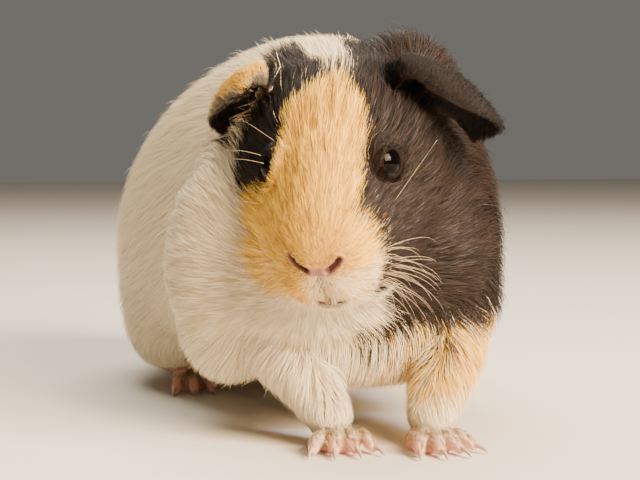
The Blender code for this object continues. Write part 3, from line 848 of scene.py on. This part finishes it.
def coatFlow(points, normals):
    # the way the hair lies: from the nose backwards over the head, backwards and down on the body,
    # down on the legs, towards the toes on the feet
    across, back, up = toHead(points).T
    fromNose = unit(np.stack([across + 1.2, (back + 7) * 1.15, (up + 4) * 0.85], -1)) @ headAxes.T
    x, y, z = points.T
    side = smoothStep(np.abs(x - 2), 10, 40)
    down = -0.10 - 0.55 * side - 0.5 * fade(y, 10, 50)
    front = fade(y, 5, 40) * fade(z, 45, 70)
    onBody = np.stack([0.22 * np.sign(x - 2) * side, 1 - 0.8 * front, down], -1)
    for share, way in ((fade(z, 12, 26), (0, -0.15, -1.0)), (fade(z, 6, 15), (0, -1.0, -0.25))):
        onBody = onBody * (1 - share)[:, None] + np.array(way) * share[:, None]
    share = smoothStep(headShare(points), 0.1, 0.9)[:, None]
    flow = share * fromNose + (1 - share) * unit(onBody)
    for side in (1, -1):
        # the hair parts in front of each eye and goes round it
        away = unit(fromEye(points, side)[0])
        near = fade(fromLids(points, side), 0.5, eyeForm["shortReach"])
        towards = np.minimum(np.einsum("ij,ij->i", flow, away), 0)
        flow = flow - (1.1 * near * towards)[:, None] * away
    return unit(flow - normals * np.einsum("ij,ij->i", flow, normals)[:, None])


def shortShare(points):
    # hair is short round the nostrils, the mouth and the eyes, so that it doesn't lie across them
    found = np.minimum(*noseMasks(points)[0:3:2])
    byEye = eyeForm["shortest"] + (1 - eyeForm["shortest"]) * smoothStep(
        np.minimum(fromLids(points, 1), fromLids(points, -1)), 0.3, eyeForm["shortReach"])
    return np.minimum(0.35 + 0.65 * smoothStep(found, 0.6, 3.2), byEye)


def locks(points):
    # hairs of the head hold together in locks, 0.5 to 1 mm wide and about 4 mm long, in lines from the
    # nose: noise of two sizes over the direction from the nose, moved on with the distance
    spread = toHead(points) + np.array([1.2, 7, 4])
    distance = np.linalg.norm(spread, axis=1)[:, None]
    moved = distance / 4 * np.array([0.37, 0.51, 0.78])
    return (0.6 * smoothNoise(75 * spread / distance + moved, 1.0, 51)
            + 0.7 * smoothNoise(38 * spread / distance + moved, 1.0, 52))


def bareShare(points):
    # 1 where the skin has no hair: nose leather, eyes, soles and toe tips
    nostril, _, mouth, beside, up, back = noseMasks(points)
    halfWidth, halfHeight, place = noseForm["bridge"]
    bridge = fade(np.hypot(beside / halfWidth, (up - place) / halfHeight), 0.6, 1.2)
    bare = np.maximum(fade(nostril, 0.7, 1.6), bridge * (back < noseForm["reach"]))
    bare = np.maximum(bare, fade(mouth, 0.55, 1.0))
    for side in (1, -1):
        distance, angle = fromEye(points, side)[1::2]
        eye = ((distance < eyeForm["radius"] + eyeForm["bareReach"])
               & (np.degrees(angle) < eyeForm["opening"] + eyeForm["bareAngle"]))
        bare = np.maximum(bare, eye)
    return bare


def hairSize(depth):
    length = fur["lengthBase"] + fur["lengthPerDepth"] * depth
    return length, fur["widthBase"] + fur["widthPerLength"] * length


def plantRoots():
    # places for hairs over the triangles, in numbers that follow area and how much each must cover
    corners = skinPoints[skinTriangles]
    face = np.cross(corners[:, 1] - corners[:, 0], corners[:, 2] - corners[:, 0])
    area = np.linalg.norm(face, axis=1) / 2
    centre = corners.mean(axis=1)
    x, y, z = centre.T
    ears = earDistance(centre)
    depth = fur["earDepth"] + (coatDepth(centre) - fur["earDepth"]) * smoothStep(ears, 1.2, 3.6)
    length, width = hairSize(depth)
    number = area * fur["cover"] / (length * width * fur["fill"] * shortShare(centre))
    number *= (1 - bareShare(centre)) * np.interp(depth, (0.35, 1.5, 4), (0.45, 0.8, 1))
    onPaw = fur["pawCover"] / fur["pawWidth"]
    number *= np.interp(z, (0.8, 2.2, 4.8, 9.9, 10), (0, 0.3 * onPaw, onPaw, onPaw, 1))
    for where, cover in (((x > 3) & (y > 74), "farCover"), (ears < 1.4, "earCover"),
                         ((z < coatCuts["pawTop"]) & (y > 90), "hindPawCover"),
                         ((face[:, 2] < -0.6 * 2 * area) & (z > 5), "undersideCover")):
        number *= np.where(where, fur[cover], 1)
    number[(skinTriangles >= bodyCount).any(axis=1)] = 0
    whole = np.floor(number + chance.random(len(number))).astype(int)
    which = np.repeat(np.arange(len(number)), whole)
    a, b = chance.random((2, len(which)))
    turned = a + b > 1
    a, b = np.where(turned, 1 - a, a), np.where(turned, 1 - b, b)
    weights = np.stack([1 - a - b, a, b], -1)
    roots = np.einsum("ij,ijk->ik", weights, corners[which])
    normals = unit(np.einsum("ij,ijk->ik", weights, skinNormals[skinTriangles[which]]))
    return roots, normals, depth[which], ears[which]


def regionOf(points, ears):
    # the number of the coat's piece that each point lies in
    x, y, z = points.T
    head = headShare(points) > 0.5
    cut = coatCuts
    found = ((ears < cut["onEar"], 8), (~head & (z < cut["pawTop"]), 7),
             (head & (toHead(points)[:, 1] < cut["faceBack"]), 0), (head, 1),
             ((y <= cut["chestBack"]) & (z <= cut["chestTop"]), 3),
             ((y <= cut["neckBack"]) & (z > cut["chestTop"]), 2), (y > cut["rumpFront"], 6),
             (x > cut["middle"], 5))
    where, number = zip(*found)
    return np.select(where, number, 4)


coatCuts = {
    "onEar": 1.6, "pawTop": 10, "faceBack": 24, "chestBack": 50, "chestTop": 56, "neckBack": 74,
    "rumpFront": 118, "middle": 3,
}
# name, slot and the number of steps in each hair
coatPieces = (
    ("faceCoat", "cream_coat", 2), ("cheekCoat", "chocolate_coat", 3), ("neckCoat", "chocolate_coat", 3),
    ("chestCoat", "white_coat", 3), ("rightFlankCoat", "white_coat", 3), ("leftFlankCoat", "white_coat", 3),
    ("rumpCoat", "white_coat", 3), ("pawCoat", "white_coat", 2), ("earCoat", "chocolate_coat", 2))


def unwrapOf(points, region):
    # the skin's own unwrap: angle round the head or the body, and distance along it. Ears and paws get
    # a quarter of the square each
    across, back, up = toHead(points).T
    x, y, z = points.T
    if region in (0, 1):
        place = np.arctan2(across, up + 10) / math.pi, back
    elif region == 7:
        left, front = x > 1, y < 60
        turn = np.arctan2(y - np.where(front, 12, 124), x - np.where(left, 16, -14)) / math.pi
        place = turn * 0.45 + left * 1.0, np.clip(z / 15, 0, 1) * 0.9 + front * 1.0
    elif region == 8:
        place = np.abs(across) * 0.04 + (across > 0) * 1.0, back * 0.1
    else:
        place = np.arctan2(x - 2, z - 50) / math.pi, y / 100
    place = np.stack(place, -1)
    low, high = place.min(axis=0), place.max(axis=0)
    return 0.01 + 0.98 * (place - low) / (high - low)


lookup = SkinLookup(skinPoints[:bodyCount])
print("lookup ready")


def growCoat(roots, normals, depth, ears, steps):
    # a hair leaves its root, rises by the coat's depth along 1 - (1 - t)^2 and bends along the skin
    count = len(roots)
    short = shortShare(roots)
    length = hairSize(depth)[0] * chance.uniform(*fur["uneven"], count) * short
    onEar = ears < coatCuts["onEar"]
    length = np.where(onEar, fur["earHair"] * length, length) * np.interp(roots[:, 2], (2, 8), (0.6, 1))
    lift = (depth * chance.uniform(*fur["liftShare"], count)
            * (1 + fur["lockLift"] * locks(roots) * headShare(roots)))
    standing = chance.random(count) < fur["standing"]
    lift = np.where(standing, lift * fur["standingLift"], lift) * np.sqrt(short)
    flow = coatFlow(roots, normals)
    # it wavers sideways, most in the tousled hair between the ears
    messy = smoothStep(roots[:, 2], 80, 100) * smoothStep(toHead(roots)[:, 1], 40, 60)
    wave = ((0.10 + 0.25 * messy) * smoothNoise(roots, 9.0, 21) + 0.08 * smoothNoise(roots, 3.0, 22)
            + chance.normal(0, fur["waver"], count))
    way = unit(flow + np.cross(normals, flow) * wave[:, None])
    heights = lift[:, None] * (1 - (1 - np.linspace(0, 1, steps + 1)) ** 2)
    place, normal, loose = roots, normals, np.zeros(count, bool)
    path, normalPath = [roots - normals * fur["rootDepth"]], [normals]
    for at in range(1, steps + 1):
        place = place + way * (length / steps)[:, None]
        near = lookup.nearest(place)
        # hairs that have left the edge of a thin form go straight on
        follow = np.einsum("ij,ij->i", normal, skinNormals[near]) > 0.25
        normal = np.where(follow[:, None], unit(0.35 * normal + skinNormals[near]), normal)
        height = np.einsum("ij,ij->i", place - skinPoints[near], normal)
        held = follow & (np.abs(height) < 2.5)
        loose |= ~held
        place = place - normal * np.where(held, height, 0)[:, None]
        way = unit(way - normal * np.einsum("ij,ij->i", way, normal)[:, None])
        path.append(place + normal * heights[:, at, None])
        normalPath.append(normal)
    path = np.stack(path, 1)
    # hairs without skin under them are shorter near the ears
    shrink = np.where(loose & (ears < 8), np.where(onEar, fur["earLoose"], fur["loose"]), 1)[:, None, None]
    return path[:, :1] + shrink * (path - path[:, :1]), np.stack(normalPath, 1), length


def coatMesh(name, path, normals, width, uv):
    # a flat ribbon along each path, of the given width, that narrows to a point at its tip. Its patch of
    # the unwrap is a small square at its root's place. Also gives the points' places along their hairs
    count, rings = path.shape[:2]
    side = unit(np.cross(unit(np.gradient(path, axis=1)), normals))
    roll = chance.normal(0, fur["roll"], count)[:, None, None]
    side = side * np.cos(roll) + normals * np.sin(roll)
    t = np.linspace(0, 1, rings)
    taper = (0.75 + 0.6 * t - 1.0 * t**2) * (1 - t**6)
    offset = (side * (width[:, None] * taper)[..., None] / 2)[:, :-1]
    left, right = path[:, :-1] - offset, path[:, :-1] + offset
    points = np.concatenate([np.stack([left, right], 2).reshape(count, -1, 3), path[:, -1:]], axis=1)
    per = points.shape[1]
    base = (np.arange(count) * per)[:, None]
    step = 2 * np.arange(rings - 2)
    quads = np.stack([base + step, base + step + 1, base + step + 3, base + step + 2], -1).reshape(-1, 4)
    tips = base + per - np.array([3, 2, 1])
    mesh = meshOf(name, toMetres(points.reshape(-1, 3)), [quads, tips])
    along = np.append(np.repeat(t[:-1], 2), 1.0)
    sides = np.append(np.tile([-1.0, 1.0], rings - 1), 0.0)
    corners = (uv[:, None] + np.stack([sides, along * 2 - 1], -1) * fur["patch"]).reshape(-1, 2)
    order = np.concatenate([quads.ravel(), tips.ravel()])
    mesh.uv_layers.new(name="OFBake").data.foreach_set("uv", corners[order].astype(np.float32).ravel())
    return mesh, np.tile(along, count)


furColours = {
    # each kind's light and deep tone. The deep tone also gives the painted shade at the roots and in the gaps
    # between locks
    "white": ("#F3E7CB", "#CFBD95"), "cream": ("#FFD24A", "#B27B2B"), "dark": ("#2A1D14", "#070301"),
}


def furMaterial():
    # guinea pig hair: fine, sleek keratin. It gives a soft sheen along the lie of the coat
    material, tree, shader = newMaterial("guineaPigHair", Specular_IOR_Level=0.22)
    read = {name: addNode(tree, "ShaderNodeAttribute", {"attribute_name": name}).outputs["Fac"]
            for name in ("dark", "cream", "shade", "along")}
    # painted shade: a hair is deeper in tone towards its root, where the coat over it shades it
    rootShade = addNode(tree, "ShaderNodeMapRange", {}, {
        "Value": read["along"], "From Max": 0.7, "To Min": 0.55, "To Max": 0.0})
    tone = addNode(tree, "ShaderNodeMath", {"operation": "MULTIPLY_ADD", "use_clamp": True},
                   {0: read["shade"], 1: 0.75, 2: rootShade.outputs[0]}).outputs[0]
    toned = [addNode(tree, "ShaderNodeMix", {"data_type": "RGBA"}, {
        0: tone, 6: toLinear(light), 7: toLinear(deep)}).outputs[2] for light, deep in furColours.values()]
    colour = toned[0]
    for name, over in zip(("cream", "dark"), toned[1:]):
        colour = addNode(tree, "ShaderNodeMix", {"data_type": "RGBA"}, {
            0: read[name], 6: colour, 7: over}).outputs[2]
    tree.links.new(colour, shader.inputs["Base Color"])
    # deep-toned hair is the duller
    dull = addNode(tree, "ShaderNodeMapRange", {}, {"Value": read["shade"], "To Min": 0.45, "To Max": 0.65})
    tree.links.new(dull.outputs[0], shader.inputs["Roughness"])
    return material


def buildCoat():
    material = furMaterial()
    allRoots, allNormals, allDepth, allEars = plantRoots()
    region = regionOf(allRoots, allEars)
    for number, (name, slot, steps) in enumerate(coatPieces):
        chosen = np.flatnonzero(region == number)
        most = fur["mostTriangles"] // (2 * steps - 1)
        if len(chosen) > most:
            chosen = chosen[np.sort(chance.permutation(len(chosen))[:most])]
        print(name, len(chosen), "hairs of at most", most)
        roots, ears, onBody = allRoots[chosen], allEars[chosen], int(number > 1)
        path, normals, length = growCoat(roots, allNormals[chosen], allDepth[chosen], ears, steps)
        seen = path[:, (2 * steps) // 3]  # the part of the hair that shows
        seen = seen + chance.normal(0, fur["blur"][onBody], (len(chosen), 3))
        dark, cream, blackAndShade = markings(np.where((ears < 6)[:, None], roots, seen))
        dark = np.where(ears < 2, dark, chance.random(len(chosen)) < dark)
        cream = (chance.random(len(chosen)) < cream) * (1 - dark)
        shade = (fur["tone"] + 0.15 * smoothNoise(roots, 2.2, 31)
                 + chance.normal(0, fur["spread"][onBody], len(chosen)))
        # painted light and shade: hairs in raised locks are lighter, hairs in the gaps between locks darker
        shade -= fur["lockLightAndShade"][onBody] * locks(roots)
        shade = np.clip(shade, 0, 1) * (1 - blackAndShade * dark) + blackAndShade * dark
        width = fur["widthBase"] + fur["widthPerLength"] * length
        width = np.where(roots[:, 2] < coatCuts["pawTop"], fur["pawWidth"] * width, width)
        mesh, along = coatMesh(name, path, normals, width, unwrapOf(roots, number))
        looks = {key: np.repeat(value, len(along) // len(roots))
                 for key, value in (("dark", dark), ("cream", cream), ("shade", shade))}
        newPiece(name, mesh, material, slot, {"along": along, **looks})


buildCoat()
print("coat ready")


# skin piece

skinColours = {
    "white": "#DECDAA", "cream": "#D8A25C", "dark": "#231812",
    # ear: dark ear skin, deepened partly as painted shade of the hollow under each flap. nostril: mauve skin,
    # made dark as painted shade inside the nostril slits and along the mouth line
    "leather": "#96685F", "paw": "#EBB0A0", "ear": "#140D0A", "lid": "#130C09", "nostril": "#45292A",
}


def skinMaterial():
    # living skin: thin and a little waxy, so light spreads in it and thin parts glow
    material, tree, shader = newMaterial(
        "livingSkin", Specular_IOR_Level=0.1, Subsurface_Weight=0.12,
        Subsurface_Radius=(0.0012, 0.0005, 0.0003), Subsurface_Scale=1.0)
    over = ("cream", "dark", "paw", "ear", "leather", "nostril", "lid")
    read = {name: addNode(tree, "ShaderNodeAttribute", {"attribute_name": name}).outputs["Fac"]
            for name in over}
    colour = toLinear(skinColours["white"])
    for name in over:
        colour = addNode(tree, "ShaderNodeMix", {"data_type": "RGBA"}, {
            0: read[name], 6: colour, 7: toLinear(skinColours[name])}).outputs[2]
    place = addNode(tree, "ShaderNodeTexCoord")
    # pores and fine creases about 0.7 mm apart
    pores = addNode(tree, "ShaderNodeTexNoise", {}, {
        "Vector": place.outputs["Object"], "Scale": 1400.0, "Detail": 3.0})
    bump = addNode(tree, "ShaderNodeBump", {}, {
        "Height": pores.outputs["Fac"], "Strength": 0.35, "Distance": 0.0002})
    tree.links.new(colour, shader.inputs["Base Color"])
    tree.links.new(bump.outputs[0], shader.inputs["Normal"])
    dull = addNode(tree, "ShaderNodeMapRange", {}, {"Value": read["lid"], "To Min": 0.5, "To Max": 0.75})
    tree.links.new(dull.outputs[0], shader.inputs["Roughness"])
    return material


def finishSkin():
    dark, cream = markings(skinPoints, 0.6)[:2]
    nostril, _, mouth, _, _, back = noseMasks(skinPoints)
    lid = np.maximum(*(fade(fromLids(skinPoints, side), 0.5, 1.5) for side in (1, -1)))
    lid[bodyCount:] = 1
    mesh = meshOf("skin", toMetres(skinPoints), [skinTriangles])
    piece = newPiece("skin", mesh, skinMaterial(), "bare_skin", {
        # the ear share darkens the ear skin, partly as painted shade of the hollow under each flap
        "dark": dark, "cream": cream, "lid": lid, "ear": fade(earDistance(skinPoints), 1.5, 4),
        "leather": np.where(back < noseForm["reach"], bareShare(skinPoints), 0),
        "paw": fade(skinPoints[:, 2] + 1.5 * smoothNoise(skinPoints, 5, 41), 4, 8),
        # the nostril share paints shade into the nostril slits and along the mouth line
        "nostril": np.maximum(fade(nostril, 0.4, 1.2), fade(mouth, 0.4, 0.95))})
    flesh = [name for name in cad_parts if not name.startswith("eye_") and "_claw_" not in name]
    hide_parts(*flesh)


finishSkin()
print("skin ready")


# eyes

def buildEyes():
    # a dark, wet eye: near-black brown under a clear, polished cornea that mirrors the window
    material, tree, shader = newMaterial("wetDarkEye", Roughness=0.09, IOR=1.15)
    look = addNode(tree, "ShaderNodeAttribute", {"attribute_name": "fromMiddle"}).outputs["Fac"]
    ramp = addNode(tree, "ShaderNodeValToRGB", {}, {"Fac": look})
    for element, (place, colour) in zip(ramp.color_ramp.elements, eyeForm["pupilAndIris"]):
        element.position, element.color = place, toLinear(colour)
    tree.links.new(ramp.outputs[0], shader.inputs["Base Color"])
    for side, name in ((1, "left"), (-1, "right")):
        centre, outward = eyeFrame(side)
        first = unit(np.cross(outward, (0, 0, 1.0)))
        axes = np.stack([first, -outward, np.cross(first, -outward)])
        rings = ballRings((0, 0, 0), (eyeForm["radius"],) * 3, 40, 56) @ axes + centre
        points, faces = closedLoft(rings)
        piece = newPiece("eyeball_" + name, meshOf("eye_" + name, toMetres(points), faces), material, "eye",
                         {"fromMiddle": fromEye(points, side)[3] / (math.pi / 2)})
        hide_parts("eye_" + name)


buildEyes()


# claws and whiskers: tapered tubes along curved routes

def tubeMesh(name, routes, radii, sides):
    # routes is an array of curves of points, radii the radius at each point
    count, rings = routes.shape[:2]
    along = unit(np.gradient(routes, axis=1))
    side = unit(np.cross(along, (0.13, 0.21, 0.97)))
    other = np.cross(side, along)
    angle = np.linspace(0, 2 * math.pi, sides, endpoint=False)
    ring = side[:, :, None] * np.cos(angle)[:, None] + other[:, :, None] * np.sin(angle)[:, None]
    points = (routes[:, :, None] + radii[..., None, None] * ring).reshape(-1, 3)
    corner = np.arange(count * rings * sides).reshape(count, rings, sides)
    points, faces = outwards(points, [quadsBetween(corner, np.roll(corner, -1, axis=2)),
                                      corner[:, 0, ::-1], corner[:, -1]])
    return meshOf(name, toMetres(points), faces), np.tile(np.repeat(np.linspace(0, 1, rings), sides), count)


clawForm = {
    "length": 4.2, "radius": 0.62, "narrows": 0.97, "arch": 0.9, "hook": 2.3, "steps": 9,
    "sunk": 0.35, "height": 0.45,  # where it leaves the toe's tip
    "root": "#D9B2A0", "tip": "#A08E7C",
}


def buildClaws():
    # horn: pinkish at its root, greyer at its tip, polished by wear, with fine streaks about 1 mm apart
    material, tree, shader = newMaterial("clawHorn", Roughness=0.32, Subsurface_Weight=0.1,
                                         Subsurface_Radius=(0.0008, 0.0005, 0.0003), Subsurface_Scale=1.0)
    along = addNode(tree, "ShaderNodeAttribute", {"attribute_name": "along"}).outputs["Fac"]
    place = addNode(tree, "ShaderNodeTexCoord")
    streaks = addNode(tree, "ShaderNodeTexNoise", {}, {"Vector": place.outputs["Object"], "Scale": 900.0})
    blend = addNode(tree, "ShaderNodeMath", {"operation": "MULTIPLY_ADD", "use_clamp": True}, {
        0: streaks.outputs["Fac"], 1: 0.4, 2: along})
    colour = addNode(tree, "ShaderNodeMix", {"data_type": "RGBA"}, {
        0: blend.outputs[0], 6: toLinear(clawForm["root"]), 7: toLinear(clawForm["tip"])})
    tree.links.new(colour.outputs[2], shader.inputs["Base Color"])
    routes = []
    share = np.linspace(0, 1, clawForm["steps"])[:, None]
    for route in toeRoutes():
        # along t it goes length * t forwards and arch * t - hook * t^2 upwards
        before, tip, radius = route[-2, :3], route[-1, :3], route[-1, 3]
        way = unit((tip - before) * np.array([1, 1, 0]))
        start = tip + way * radius * clawForm["sunk"] + np.array([0, 0, clawForm["height"]])
        routes.append(start + way * clawForm["length"] * share + np.array([0, 0, clawForm["arch"]]) * share
                      - np.array([0, 0, clawForm["hook"]]) * share**2)
    taper = np.sqrt(1 - share[:, 0] ** 2 * clawForm["narrows"]) * clawForm["radius"]
    mesh, along = tubeMesh("claws", np.array(routes), np.tile(taper, (len(routes), 1)), 10)
    piece = newPiece("claws", mesh, material, "claw", {"along": along})
    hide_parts(*[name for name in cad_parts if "_claw_" in name])


whiskerForm = {
    "seed": 19, "perSide": 42, "length": (21, 42), "radius": 0.044, "browRadius": 0.04, "steps": 14,
    "outwards": 0.45, "back": 0.40, "down": 0.70,  # bend as a share of the length
    "thinner": 0.8, "root": "#D8BF92", "tip": "#F8EACB",
    # brow hairs in the head's frame for each side: start, way, length and how far each bends down
    "brows": {1: (((16.5, 21, 1.0), (0.75, 0.45, 0.9), 19, 0.5),),
              -1: (((-15.5, 24, 12), (-1.0, 0.2, 0.25), 12, 3), ((-16.5, 27, 12.5), (-1.1, 0.3, 0.3), 11, 3),
                   ((-13.1, 32.4, 12.7), (-0.75, 0.55, 0.3), 14, 1),
                   ((-18, 21, 2), (-1.0, 0.2, 0.15), 11, 2))},
}


def buildWhiskers():
    # whiskers: stiff, springy, clear hairs that catch the light as thin bright lines
    material, tree, shader = newMaterial("whiskerHair", Roughness=0.35)
    along = addNode(tree, "ShaderNodeAttribute", {"attribute_name": "along"}).outputs["Fac"]
    colour = addNode(tree, "ShaderNodeMix", {"data_type": "RGBA"}, {
        0: along, 6: toLinear(whiskerForm["root"]), 7: toLinear(whiskerForm["tip"])})
    tree.links.new(colour.outputs[2], shader.inputs["Base Color"])
    draw = np.random.default_rng(whiskerForm["seed"])
    count, steps = whiskerForm["perSide"], whiskerForm["steps"]
    t = np.linspace(0, 1, steps)[None, :, None]
    routes = []
    for side in (1, -1):
        # from the pads they start outwards and turn back and down: start + way * t + bend * t^2
        row, line = draw.uniform(0, 1, (2, count))
        start = np.stack([side * (7.5 + 4.5 * row), 4 + 8 * row, -6 - 9 * line], -1)
        way = unit(np.stack([side * (0.9 + 0.3 * row), 0.1 + 0.5 * row, 0.25 - 0.9 * line], -1)
                   + draw.normal(0, 0.15, (count, 3)))
        length = draw.uniform(*whiskerForm["length"], count) * (0.55 + 0.45 * row)
        bend = np.stack([-side * whiskerForm["outwards"] * length, whiskerForm["back"] * length,
                         -whiskerForm["down"] * length], -1)[:, None]
        routes.append(fromHead(start[:, None] + way[:, None] * length[:, None, None] * t + bend * t**2))
    radii = [whiskerForm["radius"]] * (2 * count)
    for side in (1, -1):
        for start, way, length, droop in whiskerForm["brows"][side]:
            routes.append(fromHead(np.array(start) + unit(np.array(way)) * length * t
                                   + np.array([0, 0.2 * droop, -droop]) * t**2))
            radii.append(whiskerForm["browRadius"])
    taper = np.array(radii)[:, None] * (1 - whiskerForm["thinner"] * np.linspace(0, 1, steps))
    mesh, along = tubeMesh("whiskers", np.vstack(routes), taper, 5)
    newPiece("whiskers", mesh, material, "white_coat", {"along": along})


buildClaws()
buildWhiskers()
print("eyes, claws and whiskers ready")


# floor, light and camera

stageSettings = {
    "floor": "#D9D4CB", "floorHalf": 3, "world": "#D9D5CC", "worldStrength": 0.24,
    "aim": (-0.01, -0.06, 0.06),
    # lights: place, size, power and colour
    "lights": {"key": ((0.50, -0.88, 0.58), 0.6, 71, "#FFDCAE"),
               "window": ((0.62, -0.68, 0.50), 0.17, 10.0, "#BCD4FF"),
               "top": ((-0.05, 0.25, 1.0), 0.8, 20, "#FFF4E2")},
}


def buildStage():
    # the floor is matt painted board, with no pattern
    material = newMaterial("paleStudioFloor", Base_Color=toLinear(stageSettings["floor"]), Roughness=0.85)[0]
    corners = np.array([[-1, -1, 0], [1, -1, 0], [1, 1, 0], [-1, 1, 0]]) * float(stageSettings["floorHalf"])
    mesh = meshOf("floor", corners, [np.array([[0, 1, 2, 3]])])
    mesh.materials.append(material)
    linked("floor", mesh)
    world = bpy.data.worlds.new("studio")
    world.use_nodes = True
    background = world.node_tree.nodes["Background"]
    background.inputs["Color"].default_value = toLinear(stageSettings["world"])
    background.inputs["Strength"].default_value = stageSettings["worldStrength"]
    bpy.context.scene.world = world
    for name, (place, size, power, colour) in stageSettings["lights"].items():
        light = bpy.data.lights.new(name, "AREA")
        light.energy, light.size, light.color = power, size, toLinear(colour)[:3]
        lamp = linked(name, light)
        lamp.location = place
        x, y, z = np.array(stageSettings["aim"]) - np.array(place)
        lamp.rotation_euler = (math.atan2(math.hypot(x, y), -z), 0, math.atan2(-x, y))


buildStage()

cameraSettings = {
    "place": (-0.11445, -0.4150, 0.078), "down": 3.71, "turn": -16, "lens": 77.96, "nearest": 0.01,
}
camera = linked("camera", bpy.data.cameras.new("camera"))
camera.location = cameraSettings["place"]
camera.rotation_euler = (math.radians(90 - cameraSettings["down"]), 0, math.radians(cameraSettings["turn"]))
camera.data.lens, camera.data.clip_start = cameraSettings["lens"], cameraSettings["nearest"]
bpy.context.scene.camera = camera
